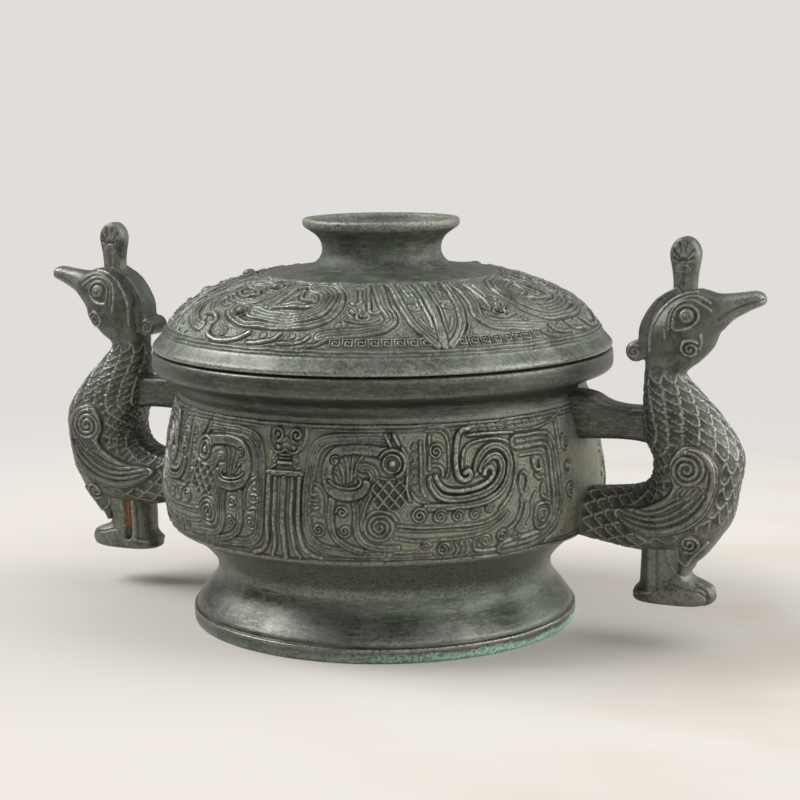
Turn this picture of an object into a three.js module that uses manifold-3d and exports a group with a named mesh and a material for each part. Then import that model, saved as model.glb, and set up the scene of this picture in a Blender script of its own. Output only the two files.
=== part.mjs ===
// Bronze gui: a covered food vessel on a ring foot, with a ring-knobbed lid and two bird handles.
// Millimetres, +Z up. The origin is at the centre of the ring foot's lower face, the handles lie
// along X and the middle of the front ornament faces -Y.
import * as THREE from "three";
import { mergeVertices } from "three/addons/utils/BufferGeometryUtils.js";
import Module from "manifold-3d";

// Bowl and ring foot
const RIM_R = 111; // outer radius of the rim band
const RIM_H = 18; // from the neck up to the lid's seat
const RIM_BAND = 9.8; // upright band below the seat
const RIM_ROUND = 1.6; // rounding of the band's lower edge
const RIM_WALL = 6; // width of the seat
const MOUTH_DEPTH = 9.5; // straight bore below the seat
const NECK_INSET = 12.7; // neck inside the rim
const BELLY_INSET = 4.4; // widest belly inside the rim
const BELLY_H = 66; // from the lower border of the ornament up to the neck
const BELLY_RISE = 20; // from the lower border up to the widest belly
const LOWER_INSET = 3.6; // lower border inside the widest belly
const UNDER_H = 20.5; // slanting underside, from the foot's waist up to the lower border
const UNDER_HOLLOW = 0.7; // how hollow the slanting underside is
const CORNER = 3; // rounding between underside and belly
const FLOOR_DISH = 4; // how far the floor's middle sags
const WALL = 3.5; // cast wall
const FOOT_R = 93.6; // outer radius at the table
const FOOT_H = 27.5; // from the table up to the waist
const FOOT_LIP = 6; // straight band at the table
const FOOT_FLARE = 12.3; // waist inside the foot's lower band

// Lid and knob
const LID_INSET = 0.5; // lid's edge inside the rim band
const LID_H = 37.7; // from the lid's edge up to the knob's seat
const FLANGE_PLAY = 2; // locating flange inside the mouth
const FLANGE_H = 7; // locating flange below the seat
const FLANGE_WALL = 3;
const KNOB_H = 22.7; // above its seat
const KNOB_SEAT_R = 34; // outer radius of the knob's foot
const KNOB_WAIST_R = 28.4;
const KNOB_TOP_R = 37.4;
const KNOB_BAND = 4.6; // upright band round the knob's mouth
const KNOB_WALL = 4.6;
const KNOB_LIP = 2.6; // flat width of the knob's top edge
const KNOB_EDGE = 0.9; // rounding outside the flat

// Bird handles
const BIRD_LENGTH = 80; // from the belly's wall out to the beak's tip
const BIRD_HEIGHT = 145; // from the soles up to the crown of the head
const BIRD_BREADTH = 38; // across the breast
const SOLE_DROP = 8; // soles below the foot's waist
const CREST_H = 23; // above the crown of the head
const CREST_WIDTH = 13;
const CREST_THICK = 10.4;
const PLUME_WIDTH = 14;
const PLUME_PROUD = 2.8; // plume outside the back of the head
const CURL_R = 4.8; // curl at the plume's end
const EYE_R = 3.9;
const EYE_PROUD = 1.6;
const WING_PROUD = 2.6;
const BOSS_R = 5; // boss in the middle of the wing's spiral
const BOSS_PROUD = 1.2;
const BRIDGE_RISE = 90.6; // upper bar's top above the soles
const BRIDGE_H = 17; // upper bar between neck and bowl
const BRIDGE_WIDTH = 15;
const BRIDGE_FLARE = 6; // bar's upper side rises towards the bowl
const LEG_BREADTH = 22; // across the leg block
const LEG_GROOVE = 3; // groove between shank and rear strip
const GROOVE_DEPTH = 1.6;

// Ornament cast on belly and lid
const RIDGE_H = 1.6; // crest above the wall
const RIDGE_SINK = 1.3; // foot inside the wall
const LINE_WIDTH = 3.6; // a single ridge
const BAND_WIDTH = 8; // a band of ribs, taken as one ridge
const BEAD_WIDTH = 2.4; // border round the belly or the lid
const PILLAR_GAP = 6.4; // between the pillar's ridges
const LID_PATTERN_TURN = 40; // the lid's pattern is turned on the bowl, in degrees

// Clearances and facets
const JOINT_GAP = 0.3; // solder line between two castings
const LID_GAP = 0.3; // lid's edge above the seat
const TURN = 36; // facets round the vessel
const KNOB_TURN = 24;
const OVAL = 16; // points round a rib
const BODY_POWER = 2.3; // how square a rib of the body is: 2 is an ellipse
const BAR_POWER = 5; // the same for the crest and the bridge
const BODY_STEPS = 28;
const BAR_STEPS = 8;
const MERGE = 1e-4;

// Heights and radii that follow
const waistZ = FOOT_H;
const lowerZ = waistZ + UNDER_H;
const neckZ = lowerZ + BELLY_H;
const seatZ = neckZ + RIM_H;
const lidZ = seatZ + LID_GAP;
const crownZ = lidZ + LID_H;
const knobZ = crownZ + JOINT_GAP;
const waistR = FOOT_R - FOOT_FLARE;
const bellyR = RIM_R - BELLY_INSET;
const lowerR = bellyR - LOWER_INSET;
const neckR = RIM_R - NECK_INSET;
const mouthR = RIM_R - RIM_WALL;
const lidR = RIM_R - LID_INSET;
const flangeR = mouthR - FLANGE_PLAY;
const soleZ = waistZ - SOLE_DROP;

const wasm = await Module();
wasm.setup();

const point = (x, y) => new THREE.Vector2(x, y);
const smooth = (points, steps) => new THREE.SplineCurve(points).getPoints(steps);

// A closed mesh as a solid that can be joined and cut.
function toSolid(geometry) {
  const bare = new THREE.BufferGeometry();
  bare.setAttribute("position", geometry.getAttribute("position"));
  bare.setIndex(geometry.index);
  const merged = mergeVertices(bare, MERGE);
  const vertProperties = merged.getAttribute("position").array;
  const triVerts = new Uint32Array(merged.index.array);
  return new wasm.Manifold(new wasm.Mesh({ numProp: 3, vertProperties, triVerts }));
}

// The solid's faces as a geometry.
function toGeometry(solid) {
  const { vertProperties, triVerts } = solid.getMesh();
  const geometry = new THREE.BufferGeometry();
  geometry.setAttribute("position", new THREE.BufferAttribute(vertProperties, 3));
  geometry.setIndex(new THREE.BufferAttribute(triVerts, 1));
  geometry.computeVertexNormals();
  return geometry;
}

// A profile of (radius, height) points turned about Z.
function turned(profile, facets) {
  return new THREE.LatheGeometry(profile, facets).rotateX(Math.PI / 2);
}

// An outline of (x, z) points with a thickness along Y, centred on the XZ plane.
function slab(outline, thickness) {
  const options = { depth: thickness, bevelEnabled: false, curveSegments: 2 };
  return new THREE.ExtrudeGeometry(outline, options).rotateX(Math.PI / 2).translate(0, thickness / 2, 0);
}

// A loft through ribs. Each rib is an oval across the XZ plane, between two points of the side view,
// with half its breadth along Y. Growing moves every rib's outline outwards.
function loft(ribs, steps, power, grow = 0) {
  const spine = (pick) => new THREE.CatmullRomCurve3(ribs.map(pick));
  const upper = spine(([high]) => new THREE.Vector3(high.x, 0, high.y));
  const lower = spine(([, low]) => new THREE.Vector3(low.x, 0, low.y));
  const breadth = spine(([, , half], i) => new THREE.Vector3(i * half, half, 0));
  const squared = (share) => Math.sign(share) * Math.abs(share) ** (2 / power);
  const corners = [];
  const faces = [];
  for (let step = 0; step <= steps; step += 1) {
    const high = upper.getPoint(step / steps);
    const low = lower.getPoint(step / steps);
    const half = breadth.getPoint(step / steps).y + grow;
    const middle = high.clone().add(low).divideScalar(2);
    const reach = high.clone().sub(middle);
    reach.setLength(reach.length() + grow);
    for (let i = 0; i < OVAL; i += 1) {
      const turn = (2 * Math.PI * i) / OVAL;
      const along = squared(Math.cos(turn));
      const across = squared(Math.sin(turn));
      corners.push(middle.x + reach.x * along, half * across, middle.z + reach.z * along);
    }
  }
  for (let step = 0; step < steps; step += 1) {
    for (let i = 0; i < OVAL; i += 1) {
      const a = step * OVAL + i;
      const b = step * OVAL + ((i + 1) % OVAL);
      faces.push(a, a + OVAL, b, b, a + OVAL, b + OVAL);
    }
  }
  const last = steps * OVAL;
  for (let i = 1; i < OVAL - 1; i += 1) {
    faces.push(0, i, i + 1);
    faces.push(last, last + i + 1, last + i);
  }
  const geometry = new THREE.BufferGeometry();
  geometry.setAttribute("position", new THREE.Float32BufferAttribute(corners, 3));
  geometry.setIndex(faces);
  return toSolid(geometry);
}

// Each point of a contour moved sideways by a distance, to the left of its direction.
function inset(contour, distance) {
  return contour.map((p, i) => {
    const before = contour[Math.max(i - 1, 0)];
    const after = contour[Math.min(i + 1, contour.length - 1)];
    const along = after.clone().sub(before).normalize();
    return point(p.x - along.y * distance, p.y + along.x * distance);
  });
}

// Every second point of a contour, and its last.
const coarse = (contour) => contour.filter((_, i) => i % 2 === 0 || i === contour.length - 1);

// The second value of a contour where its first value is the one asked for.
function across(contour, value) {
  const after = Math.max(1, contour.findIndex(([first]) => first >= value));
  const [a, b] = [contour[after - 1], contour[after]];
  return a[1] + ((b[1] - a[1]) * (value - a[0])) / (b[0] - a[0]);
}

// A contour with a low bead wherever its x or y has one of the values.
function beaded(contour, axis, values) {
  let made = contour;
  for (const value of values) {
    const after = made.findIndex((p, i) => i > 0 && (made[i - 1][axis] - value) * (p[axis] - value) <= 0);
    const [a, b] = [made[after - 1], made[after]];
    const middle = a.clone().lerp(b, (value - a[axis]) / (b[axis] - a[axis]));
    const along = b.clone().sub(a).setLength(BEAD_WIDTH / 2);
    const crest = point(along.y, -along.x).setLength(RIDGE_H).add(middle);
    const clear = (p) => p.distanceTo(middle) > BEAD_WIDTH;
    const bead = [middle.clone().sub(along), crest, middle.clone().add(along)];
    made = [...made.slice(0, after).filter(clear), ...bead, ...made.slice(after).filter(clear)];
  }
  return made;
}

// A ridge with a sharp crest along points of a pattern, set on a surface. place gives the surface's
// point under a pattern point, raised by a lift.
function ridge(points, width, place) {
  const middles = points.map((p) => place(p, 0));
  const corners = [];
  const faces = [];
  middles.forEach((middle, i) => {
    const before = middles[Math.max(i - 1, 0)];
    const along = middles[Math.min(i + 1, middles.length - 1)].clone().sub(before);
    const out = place(points[i], 1).sub(middle);
    const aside = along.cross(out).setLength(width / 2);
    const foot = middle.clone().addScaledVector(out, -RIDGE_SINK);
    const crest = middle.clone().addScaledVector(out, RIDGE_H);
    corners.push(...foot.clone().add(aside).toArray(), ...crest.toArray(), ...foot.sub(aside).toArray());
    if (i === 0) return;
    for (let k = 0; k < 3; k += 1) {
      const [p, q] = [3 * i + k, 3 * i + ((k + 1) % 3)];
      faces.push(q - 3, p - 3, p, q - 3, p, q);
    }
  });
  const last = 3 * (middles.length - 1);
  faces.push(0, 1, 2, last + 2, last + 1, last);
  const geometry = new THREE.BufferGeometry();
  geometry.setAttribute("position", new THREE.Float32BufferAttribute(corners, 3));
  geometry.setIndex(faces);
  return toSolid(geometry);
}

// The bowl's outside, from the foot's waist up to the seat.
const underside = smooth(
  [
    point(waistR, waistZ),
    point((waistR + lowerR) / 2 - UNDER_HOLLOW, (waistZ + lowerZ) / 2 + UNDER_HOLLOW),
    point(lowerR - CORNER, lowerZ - CORNER * 0.6),
  ],
  3,
);
const belly = smooth(
  [point(lowerR, lowerZ + CORNER * 0.6), point(bellyR, lowerZ + BELLY_RISE), point(neckR, neckZ)],
  4,
);
const bellyBorders = [0.055, 0.945].map((share) => lowerZ + BELLY_H * share);
const rimBand = [
  ...smooth(
    [
      point(neckR, neckZ),
      point(neckR + NECK_INSET * 0.3, (neckZ + seatZ - RIM_BAND) / 2),
      point(RIM_R - RIM_ROUND, seatZ - RIM_BAND),
    ],
    3,
  ),
  point(RIM_R, seatZ - RIM_BAND + RIM_ROUND),
  point(RIM_R - LID_INSET, seatZ),
];
const bowlOutside = [...underside, ...beaded(belly, "y", bellyBorders), ...rimBand.slice(1)];
const floorZ = waistZ - FLOOR_DISH;
const floorEdgeR = waistR - 2 * WALL;
const floorUnder = [point(0, floorZ), point(floorEdgeR, waistZ)];

// The filled outside of the bowl, which trims what is soldered to it.
function bowlBlock(gap) {
  const grown = inset(bowlOutside, -gap);
  return toSolid(turned([point(0, waistZ - gap), ...grown, point(0, seatZ)], TURN));
}

// Belly ornament on a quarter of the wall, in degrees round from the mask and hundredths of the
// belly's height: phoenix, its plume, and the nested frame beside the handle.
const BELLY_RIDGES = [
  [LINE_WIDTH, [[25, 85.5], [11, 84.5], [6.8, 68], [6.6, 28], [11, 12], [24, 10.6]]],
  [BAND_WIDTH, [[25, 75], [15, 76.5], [11.6, 64], [14, 50], [19.5, 50]]],
  [BAND_WIDTH, [[20, 66], [21, 47], [19.4, 30], [22.5, 18.4], [27, 25], [24.5, 35]]],
  [BAND_WIDTH, [[35, 39.5], [47, 39.5], [55.5, 51], [56, 70], [50, 75.5]]],
  [BAND_WIDTH, [[60, 76.5], [70, 74], [72, 52], [70.5, 22], [59, 11.4]]],
];
// Pillar under the mask: half of it, mirrored.
const PILLAR_RIDGES = [
  [LINE_WIDTH, [[1, 8], [1, 57]]],
  [LINE_WIDTH, [[0, 69], [1.5, 90]]],
];

function bellyRidges() {
  const wall = belly.map((p) => [p.y, p.x]);
  const unit = PILLAR_GAP / bellyR;
  const made = [];
  for (const front of [0, Math.PI]) {
    for (const side of [1, -1]) {
      const place = (turn) => ([round, up], lift) => {
        const z = lowerZ + (BELLY_H * up) / 100;
        const r = across(wall, z) + lift;
        const angle = front + side * turn * round;
        return new THREE.Vector3(r * Math.sin(angle), -r * Math.cos(angle), z);
      };
      made.push(...BELLY_RIDGES.map(([width, points]) => ridge(points, width, place(Math.PI / 180))));
      made.push(...PILLAR_RIDGES.map(([width, points]) => ridge(points, width, place(unit))));
    }
  }
  return made;
}

function bowl() {
  const inside = inset(coarse([...underside, ...belly]), WALL);
  const bore = [point(mouthR, seatZ), point(mouthR, seatZ - MOUTH_DEPTH)];
  const floorTop = [point(floorEdgeR - WALL, waistZ + WALL), point(0, floorZ + WALL)];
  const profile = [...floorUnder, ...bowlOutside, ...bore, ...inside.reverse(), ...floorTop];
  return toGeometry(wasm.Manifold.union([toSolid(turned(profile, TURN)), ...bellyRidges()]));
}

function ringFoot() {
  const top = waistZ - JOINT_GAP;
  const rise = top - FOOT_LIP;
  const flare = smooth(
    [
      point(FOOT_R, FOOT_LIP),
      point(FOOT_R - FOOT_FLARE * 0.27, FOOT_LIP + rise * 0.22),
      point(FOOT_R - FOOT_FLARE * 0.82, FOOT_LIP + rise * 0.6),
      point(waistR, top),
    ],
    5,
  );
  const outside = [point(FOOT_R, 0), ...flare];
  const inside = coarse(outside).map((p) => point(p.x - WALL, p.y)).reverse();
  return turned([...outside, ...inside, point(FOOT_R, 0)], TURN);
}

// The dome's outside, as shares of the way in to the knob's seat and of its height.
const DOME_SHARES = [
  [0, 0],
  [0.004, 0.05],
  [0.04, 0.135],
  [0.14, 0.38],
  [0.275, 0.6],
  [0.43, 0.745],
  [0.6, 0.857],
  [0.8, 0.947],
  [1, 1],
];

const domeReach = lidR - KNOB_SEAT_R;
const dome = smooth(
  DOME_SHARES.map(([along, up]) => point(lidR - domeReach * along, lidZ + LID_H * up)),
  9,
);

const lidBorders = [0.094, 0.69].map((share) => lidR - domeReach * share);

// Lid ornament on a quarter of the dome, in degrees round from the pattern's axis and hundredths of
// the way in from the edge to the knob: slanting bars, hooked panel and great loop.
const LID_RIDGES = [
  [BAND_WIDTH, [[12, 66], [9.4, 42], [4, 15]]],
  [BAND_WIDTH, [[17, 65], [14.4, 38], [13.6, 20], [21, 15], [31, 14.6]]],
  [BAND_WIDTH, [[78, 34], [63, 27.5], [46, 26], [35, 34], [31, 47], [34, 61], [46, 62], [51, 51], [43, 43]]],
];

function lidRidges() {
  const height = [...dome].reverse().map((p) => [p.x, p.y]);
  const made = [];
  for (const half of [0, Math.PI]) {
    for (const side of [1, -1]) {
      const place = ([round, inwards], lift) => {
        const r = lidR - (domeReach * inwards) / 100;
        const slope = (across(height, r - 1) - across(height, r + 1)) / 2;
        const level = slope / Math.hypot(slope, 1);
        const angle = half + ((LID_PATTERN_TURN + side * round) * Math.PI) / 180;
        const out = r + lift * level;
        const z = across(height, r) + lift * Math.sqrt(1 - level * level);
        return new THREE.Vector3(out * Math.sin(angle), -out * Math.cos(angle), z);
      };
      made.push(...LID_RIDGES.map(([width, points]) => ridge(points, width, place)));
    }
  }
  return made;
}

function lidDome() {
  const flangeInR = flangeR - FLANGE_WALL;
  const flangeZ = seatZ - FLANGE_H;
  const inside = inset(coarse(dome), WALL).filter((p) => p.x < flangeInR);
  const flange = [
    point(flangeInR, lidZ + WALL),
    point(flangeInR, flangeZ),
    point(flangeR, flangeZ),
    point(flangeR, lidZ),
  ];
  const crown = [point(0, crownZ)];
  const under = [point(0, crownZ - WALL), ...inside.reverse()];
  const profile = [...under, ...flange, ...beaded(dome, "x", lidBorders), ...crown];
  return toGeometry(wasm.Manifold.union([toSolid(turned(profile, TURN)), ...lidRidges()]));
}

function lidKnob() {
  const top = knobZ + KNOB_H;
  const flare = KNOB_TOP_R - KNOB_WAIST_R;
  const outside = smooth(
    [
      point(KNOB_SEAT_R, knobZ),
      point(KNOB_WAIST_R + (KNOB_SEAT_R - KNOB_WAIST_R) * 0.3, knobZ + KNOB_H * 0.12),
      point(KNOB_WAIST_R, knobZ + KNOB_H * 0.34),
      point(KNOB_WAIST_R + flare * 0.3, knobZ + KNOB_H * 0.62),
      point(KNOB_TOP_R - KNOB_EDGE * 0.7, top - KNOB_BAND),
      point(KNOB_TOP_R, top - KNOB_BAND * 0.4),
    ],
    8,
  );
  const edgeR = KNOB_TOP_R - KNOB_EDGE;
  const edge = [point(edgeR, top), point(edgeR - KNOB_LIP, top)];
  const inside = coarse(outside).map((p) => point(p.x - KNOB_WALL, p.y)).reverse();
  return turned([...outside, ...edge, ...inside, outside[0]], KNOB_TURN);
}

// A point on the bird's side view, in hundredths of its length out from the belly's wall and of
// its height up from the soles.
const onBird = (out, up) => point(bellyR + (BIRD_LENGTH * out) / 100, soleZ + (BIRD_HEIGHT * up) / 100);

// Ribs from tail to beak: upper outline point, lower outline point, half breadth in hundredths.
const RIBS = [
  [-12, 35, -14, 19.5, 58],
  [12, 35.5, 12, 17.5, 68],
  [30, 37, 34, 16, 87],
  [37.5, 40.5, 62, 17, 97],
  [39, 44.5, 81, 24.5, 100],
  [38, 48.5, 87, 37, 100],
  [33, 53.5, 89, 48.5, 95],
  [32, 60, 76, 60, 79],
  [32, 67, 62.5, 68, 61],
  [32.5, 73, 55.5, 73, 53],
  [32.5, 77, 63.5, 77, 61],
  [32, 82.5, 71, 81.5, 68],
  [34.5, 88.5, 74.5, 86, 71],
  [42, 95, 78.5, 88.3, 68],
  [53, 99, 81, 90.5, 61],
  [64, 99.8, 84, 91.5, 47],
  [74, 98.6, 88, 93, 36],
  [85.5, 99, 93, 94.5, 31],
  [94, 99.6, 97, 95.8, 27],
  [99.6, 98.6, 99.8, 97, 12],
];

// Tail, breast, neck, head and beak in one loft, grown outwards all round.
function trunk(grow) {
  const ribs = RIBS.map(([highX, highZ, lowX, lowZ, share]) => {
    return [onBird(highX, highZ), onBird(lowX, lowZ), (BIRD_BREADTH * share) / 200];
  });
  return loft(ribs, BODY_STEPS, BODY_POWER, grow);
}

// Plume down the back of the head, ending in a curl towards the bowl.
function plume() {
  const back = [onBird(33, 80), onBird(34.5, 88.5), onBird(42, 95), onBird(53, 99)];
  const outer = inset(back, PLUME_PROUD);
  const outline = new THREE.Shape();
  outline.moveTo(outer[0].x, outer[0].y);
  outline.splineThru(outer.slice(1));
  outline.lineTo(onBird(60, 94).x, onBird(60, 94).y);
  outline.lineTo(onBird(45, 80).x, onBird(45, 80).y);
  const curlAt = onBird(28.5, 80);
  const curl = new THREE.CylinderGeometry(CURL_R, CURL_R, PLUME_WIDTH, 16);
  curl.translate(curlAt.x, 0, curlAt.y);
  return toSolid(slab(outline, PLUME_WIDTH)).add(toSolid(curl));
}

// A shallow round boss that stands out of both flanks, with its middle on the flank.
function bosses(at, radius, halfBreadth, proud) {
  const ball = new THREE.SphereGeometry(radius, 12, 6);
  ball.scale(1, proud / radius + 0.4, 1);
  const left = toSolid(ball.clone().translate(at.x, halfBreadth, at.y));
  return left.add(toSolid(ball.clone().translate(at.x, -halfBreadth, at.y)));
}

function bird() {
  const eyes = bosses(onBird(59, 92.5), EYE_R, (BIRD_BREADTH * 0.6) / 2, EYE_PROUD);
  return trunk(0).add(plume()).add(eyes).subtract(bowlBlock(JOINT_GAP));
}

// Upright crown: a paddle that widens upwards and ends in a round fan, as shares of its height and
// width.
const CREST_SHARES = [
  [-0.4, 0.84],
  [0.16, 0.84],
  [0.34, 0.93],
  [0.52, 1],
  [0.7, 0.93],
  [0.86, 0.7],
  [0.96, 0.38],
  [1, 0.12],
];

function crest() {
  const crown = onBird(54.5, 100);
  const ribs = CREST_SHARES.map(([up, share]) => {
    const half = (CREST_WIDTH * share) / 2;
    const height = crown.y + CREST_H * up;
    const thick = (CREST_THICK / 2) * (0.55 + 0.45 * Math.min(1, (2 * share) ** 2));
    return [point(crown.x - half, height), point(crown.x + half, height), thick];
  });
  return loft(ribs, BAR_STEPS, BAR_POWER).subtract(trunk(JOINT_GAP).add(plumeSeat()));
}

// The plume with a solder line round it.
function plumeSeat() {
  const grown = toGeometry(plume());
  return toSolid(grown).add(toSolid(grown.clone().translate(0, 0, JOINT_GAP)));
}

// Wing outline: round the shoulder's spiral, down the breast and back to the tip near the bowl.
function wingOutline() {
  const outline = new THREE.Shape();
  const shoulder = onBird(61, 50.5);
  outline.moveTo(shoulder.x, shoulder.y);
  outline.splineThru([
    onBird(74, 50),
    onBird(79.5, 44),
    onBird(78, 37),
    onBird(72, 30.5),
    onBird(59, 25.5),
    onBird(41, 23.5),
    onBird(27, 25),
    onBird(19, 29.5),
  ]);
  outline.splineThru([
    onBird(30, 30.7),
    onBird(42, 32),
    onBird(52.5, 37),
    onBird(53.5, 43.5),
    onBird(56, 48.5),
    shoulder,
  ]);
  return outline;
}

// A wing as a shell on one flank, with the boss of its spiral; side is -1 in front, 1 behind.
function wing(side) {
  const block = slab(wingOutline(), BIRD_BREADTH).translate(0, (side * BIRD_BREADTH) / 2, 0);
  const boss = bosses(onBird(64, 45), BOSS_R, BIRD_BREADTH / 2 + WING_PROUD, BOSS_PROUD);
  const skin = trunk(WING_PROUD).add(boss).subtract(trunk(JOINT_GAP));
  return skin.intersect(toSolid(block));
}

// Flat bar from the back of the neck to the bowl, rising where it meets the wall, as hundredths of
// the bird's length and shares of the flare.
const BRIDGE_SHARES = [
  [-25, 1],
  [-10, 1],
  [-2, 0.5],
  [7, 0.15],
  [18, 0],
  [45, 0],
];

function bridge() {
  const top = soleZ + BRIDGE_RISE;
  const ribs = BRIDGE_SHARES.map(([out, share]) => {
    const { x } = onBird(out, 0);
    return [point(x, top + BRIDGE_FLARE * share), point(x, top - BRIDGE_H), BRIDGE_WIDTH / 2];
  });
  const bar = loft(ribs, BAR_STEPS, BAR_POWER);
  return bar.subtract(bowlBlock(JOINT_GAP)).subtract(trunk(JOINT_GAP));
}

// Leg block: shank and rounded toes in front, a half-round slab behind.
function legs() {
  const outline = new THREE.Shape();
  const heel = onBird(29.5, 0.5);
  outline.moveTo(heel.x, heel.y);
  outline.lineTo(onBird(67, 0).x, soleZ);
  outline.splineThru([
    onBird(70.5, 1.5),
    onBird(71, 4),
    onBird(67, 6),
    onBird(60, 7.2),
    onBird(56.5, 10),
    onBird(58.5, 13.5),
    onBird(64, 17.5),
  ]);
  for (const [out, up] of [[64, 24], [33.5, 24], [33, 14], [31, 3.8], [29.5, 3]]) {
    outline.lineTo(onBird(out, up).x, onBird(out, up).y);
  }
  const side = toSolid(slab(outline, LEG_BREADTH));

  const half = LEG_BREADTH / 2;
  const back = onBird(38, 0).x;
  const front = onBird(58, 0).x;
  const toe = onBird(72, 0).x;
  const plan = new THREE.Shape();
  plan.absellipse(front, 0, toe - front, half, -Math.PI / 2, Math.PI / 2, false);
  plan.lineTo(back, half);
  plan.absellipse(back, 0, back - heel.x + 0.5, half, Math.PI / 2, (3 * Math.PI) / 2, false);
  const rise = BIRD_HEIGHT * 0.3;
  const round = new THREE.ExtrudeGeometry(plan, { depth: rise, bevelEnabled: false, curveSegments: 12 });
  round.translate(0, 0, soleZ - 1);

  const grooveAt = onBird(41.5, 12);
  const groove = new THREE.BoxGeometry(LEG_GROOVE, 2 * GROOVE_DEPTH, BIRD_HEIGHT * 0.15);
  const grooves = [-half, half].map((y) => toSolid(groove.clone().translate(grooveAt.x, y, grooveAt.y)));

  const block = side.intersect(toSolid(round));
  return block.subtract(grooves[0]).subtract(grooves[1]).subtract(trunk(JOINT_GAP));
}

// Patinated bronze: grey-green relief, darker plain bands, a paler lid.
const bronze = (color, roughness) => new THREE.MeshStandardMaterial({ color, roughness, metalness: 0.6 });

function part(name, geometry, color, roughness) {
  const mesh = new THREE.Mesh(geometry, bronze(color, roughness));
  mesh.name = name;
  return mesh;
}

const vessel = new THREE.Group();
vessel.add(part("bowl", bowl(), 0x5d625a, 0.5));
vessel.add(part("ring_foot", ringFoot(), 0x4b504b, 0.42));

const lid = new THREE.Group();
lid.add(part("lid_dome", lidDome(), 0x747c70, 0.55));
lid.add(part("lid_knob", lidKnob(), 0x6a7268, 0.45));

// The handle pieces are made once, for the right side, and mirrored for the left.
const HANDLE_PIECES = [
  ["bird", bird(), 0x5a5e55, 0.5],
  ["crest", crest(), 0x666a61, 0.45],
  ["bridge", bridge(), 0x545850, 0.42],
  ["legs", legs(), 0x4f544d, 0.5],
  ["wing_front", wing(-1), 0x62665c, 0.45],
  ["wing_back", wing(1), 0x62665c, 0.45],
];
const handles = new THREE.Group();
for (const [side, mirror] of [["right", 1], ["left", -1]]) {
  const handle = new THREE.Group();
  handle.scale.x = mirror;
  for (const [name, solid, color, roughness] of HANDLE_PIECES) {
    handle.add(part(`${side}_${name}`, toGeometry(solid), color, roughness));
  }
  handles.add(handle);
}

const gui = new THREE.Group();
gui.add(vessel, lid, handles);

export default gui;
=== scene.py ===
"""Bronze gui vessel: covered food bowl on a ring foot, with two standing birds as handles."""

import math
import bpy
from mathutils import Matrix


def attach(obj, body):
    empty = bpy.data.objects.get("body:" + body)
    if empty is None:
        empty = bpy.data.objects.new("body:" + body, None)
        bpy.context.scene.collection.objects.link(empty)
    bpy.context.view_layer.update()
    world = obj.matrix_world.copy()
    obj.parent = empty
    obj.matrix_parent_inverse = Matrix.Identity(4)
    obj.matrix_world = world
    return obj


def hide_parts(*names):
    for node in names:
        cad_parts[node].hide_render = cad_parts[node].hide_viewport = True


bl_info = {
    "name": "Bronze gui vessel",
    "version": (1, 0, 0),
    "blender": (4, 5, 0),
    "location": "View3D > Sidebar > Gui vessel",
    "description": "Builds a cast bronze food vessel with relief ornament and bird handles",
    "category": "Add Mesh",
}

import bpy
import numpy as np
from bpy.props import FloatProperty, PointerProperty, StringProperty
from mathutils import Matrix, kdtree

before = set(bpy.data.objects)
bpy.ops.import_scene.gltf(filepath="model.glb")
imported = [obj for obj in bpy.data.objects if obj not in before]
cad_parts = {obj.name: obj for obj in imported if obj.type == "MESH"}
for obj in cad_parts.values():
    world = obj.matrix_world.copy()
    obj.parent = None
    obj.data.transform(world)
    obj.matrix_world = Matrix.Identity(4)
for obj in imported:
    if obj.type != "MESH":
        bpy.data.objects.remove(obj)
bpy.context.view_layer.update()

MM = 0.001

# Sizes that the CAD solids have, in millimetres
BELLY_R = 106.6
SOLE_Z = 19.5
BIRD_LENGTH = 80.0
BIRD_HEIGHT = 145.0
BIRD_HALF = 19.0

# Fold of the ornament: belly millimetres to a radian, and the lid pattern's axis in degrees from the front
BELLY_SPREAD = 105.0
LID_AXIS = 40.0

# Relief tiles: rows and columns of points, rows of the hidden back, and depths in millimetres
BELLY_GRID = (174, 424)
LID_GRID = (152, 396)
BACK_ROWS = 8
TILE_DEPTH = 0.9
BED_DEPTH = 0.6
PIT_DEPTH = 0.22
PIT_SEED = 7

# Hand work: how far cut lines stray in millimetres, and how unevenly they are worn
BELLY_STRAY = 0.08
BELLY_WEAR = 0.09
LID_STRAY = 0.1
LID_WEAR = 0.17

# Repeated ornament, in millimetres: one square spiral of the ground, and where the rows of spirals run
SPIRAL_CELL = 4.2
BELLY_ROW_Z = 106.4
LID_ROW_IN = 16.6

# Points round the turned castings, and how far a handle reaches into the bowl's wall
FOOT_AROUND = 300
BOWL_AROUND = 360
KNOB_AROUND = 220
HANDLE_SINK = 2.2

# Level way to the right of the picture, where the foot is greener and the floor is stained
DAMP_SIDE = (0.908, 0.419, 0.0)


def linear(hex_colour):
    """A linear RGBA colour from an sRGB hex value."""
    parts = [int(hex_colour[i : i + 2], 16) / 255 for i in (1, 3, 5)]
    return [c / 12.92 if c <= 0.04045 else ((c + 0.055) / 1.055) ** 2.4 for c in parts] + [1.0]


def smooth_line(points, spacing=0.7, closed=False):
    """A smooth line through given points, with a new point about every spacing."""
    p = np.array(points, float)
    if closed:
        p = np.vstack([p[-1], p, p[0], p[1]])
    else:
        p = np.vstack([2 * p[0] - p[1], p, 2 * p[-1] - p[-2]])
    out = []
    for a, b, c, d in zip(p[:-3], p[1:-2], p[2:-1], p[3:]):
        count = max(2, int(np.linalg.norm(c - b) / spacing))
        t = np.linspace(0, 1, count, endpoint=False)[:, None]
        bend = (2 * a - 5 * b + 4 * c - d) * t**2 + (3 * b - a - 3 * c + d) * t**3
        out.append(b + ((c - a) * t + bend) / 2)
    out.append(p[-2][None])
    return np.vstack(out)


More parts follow.
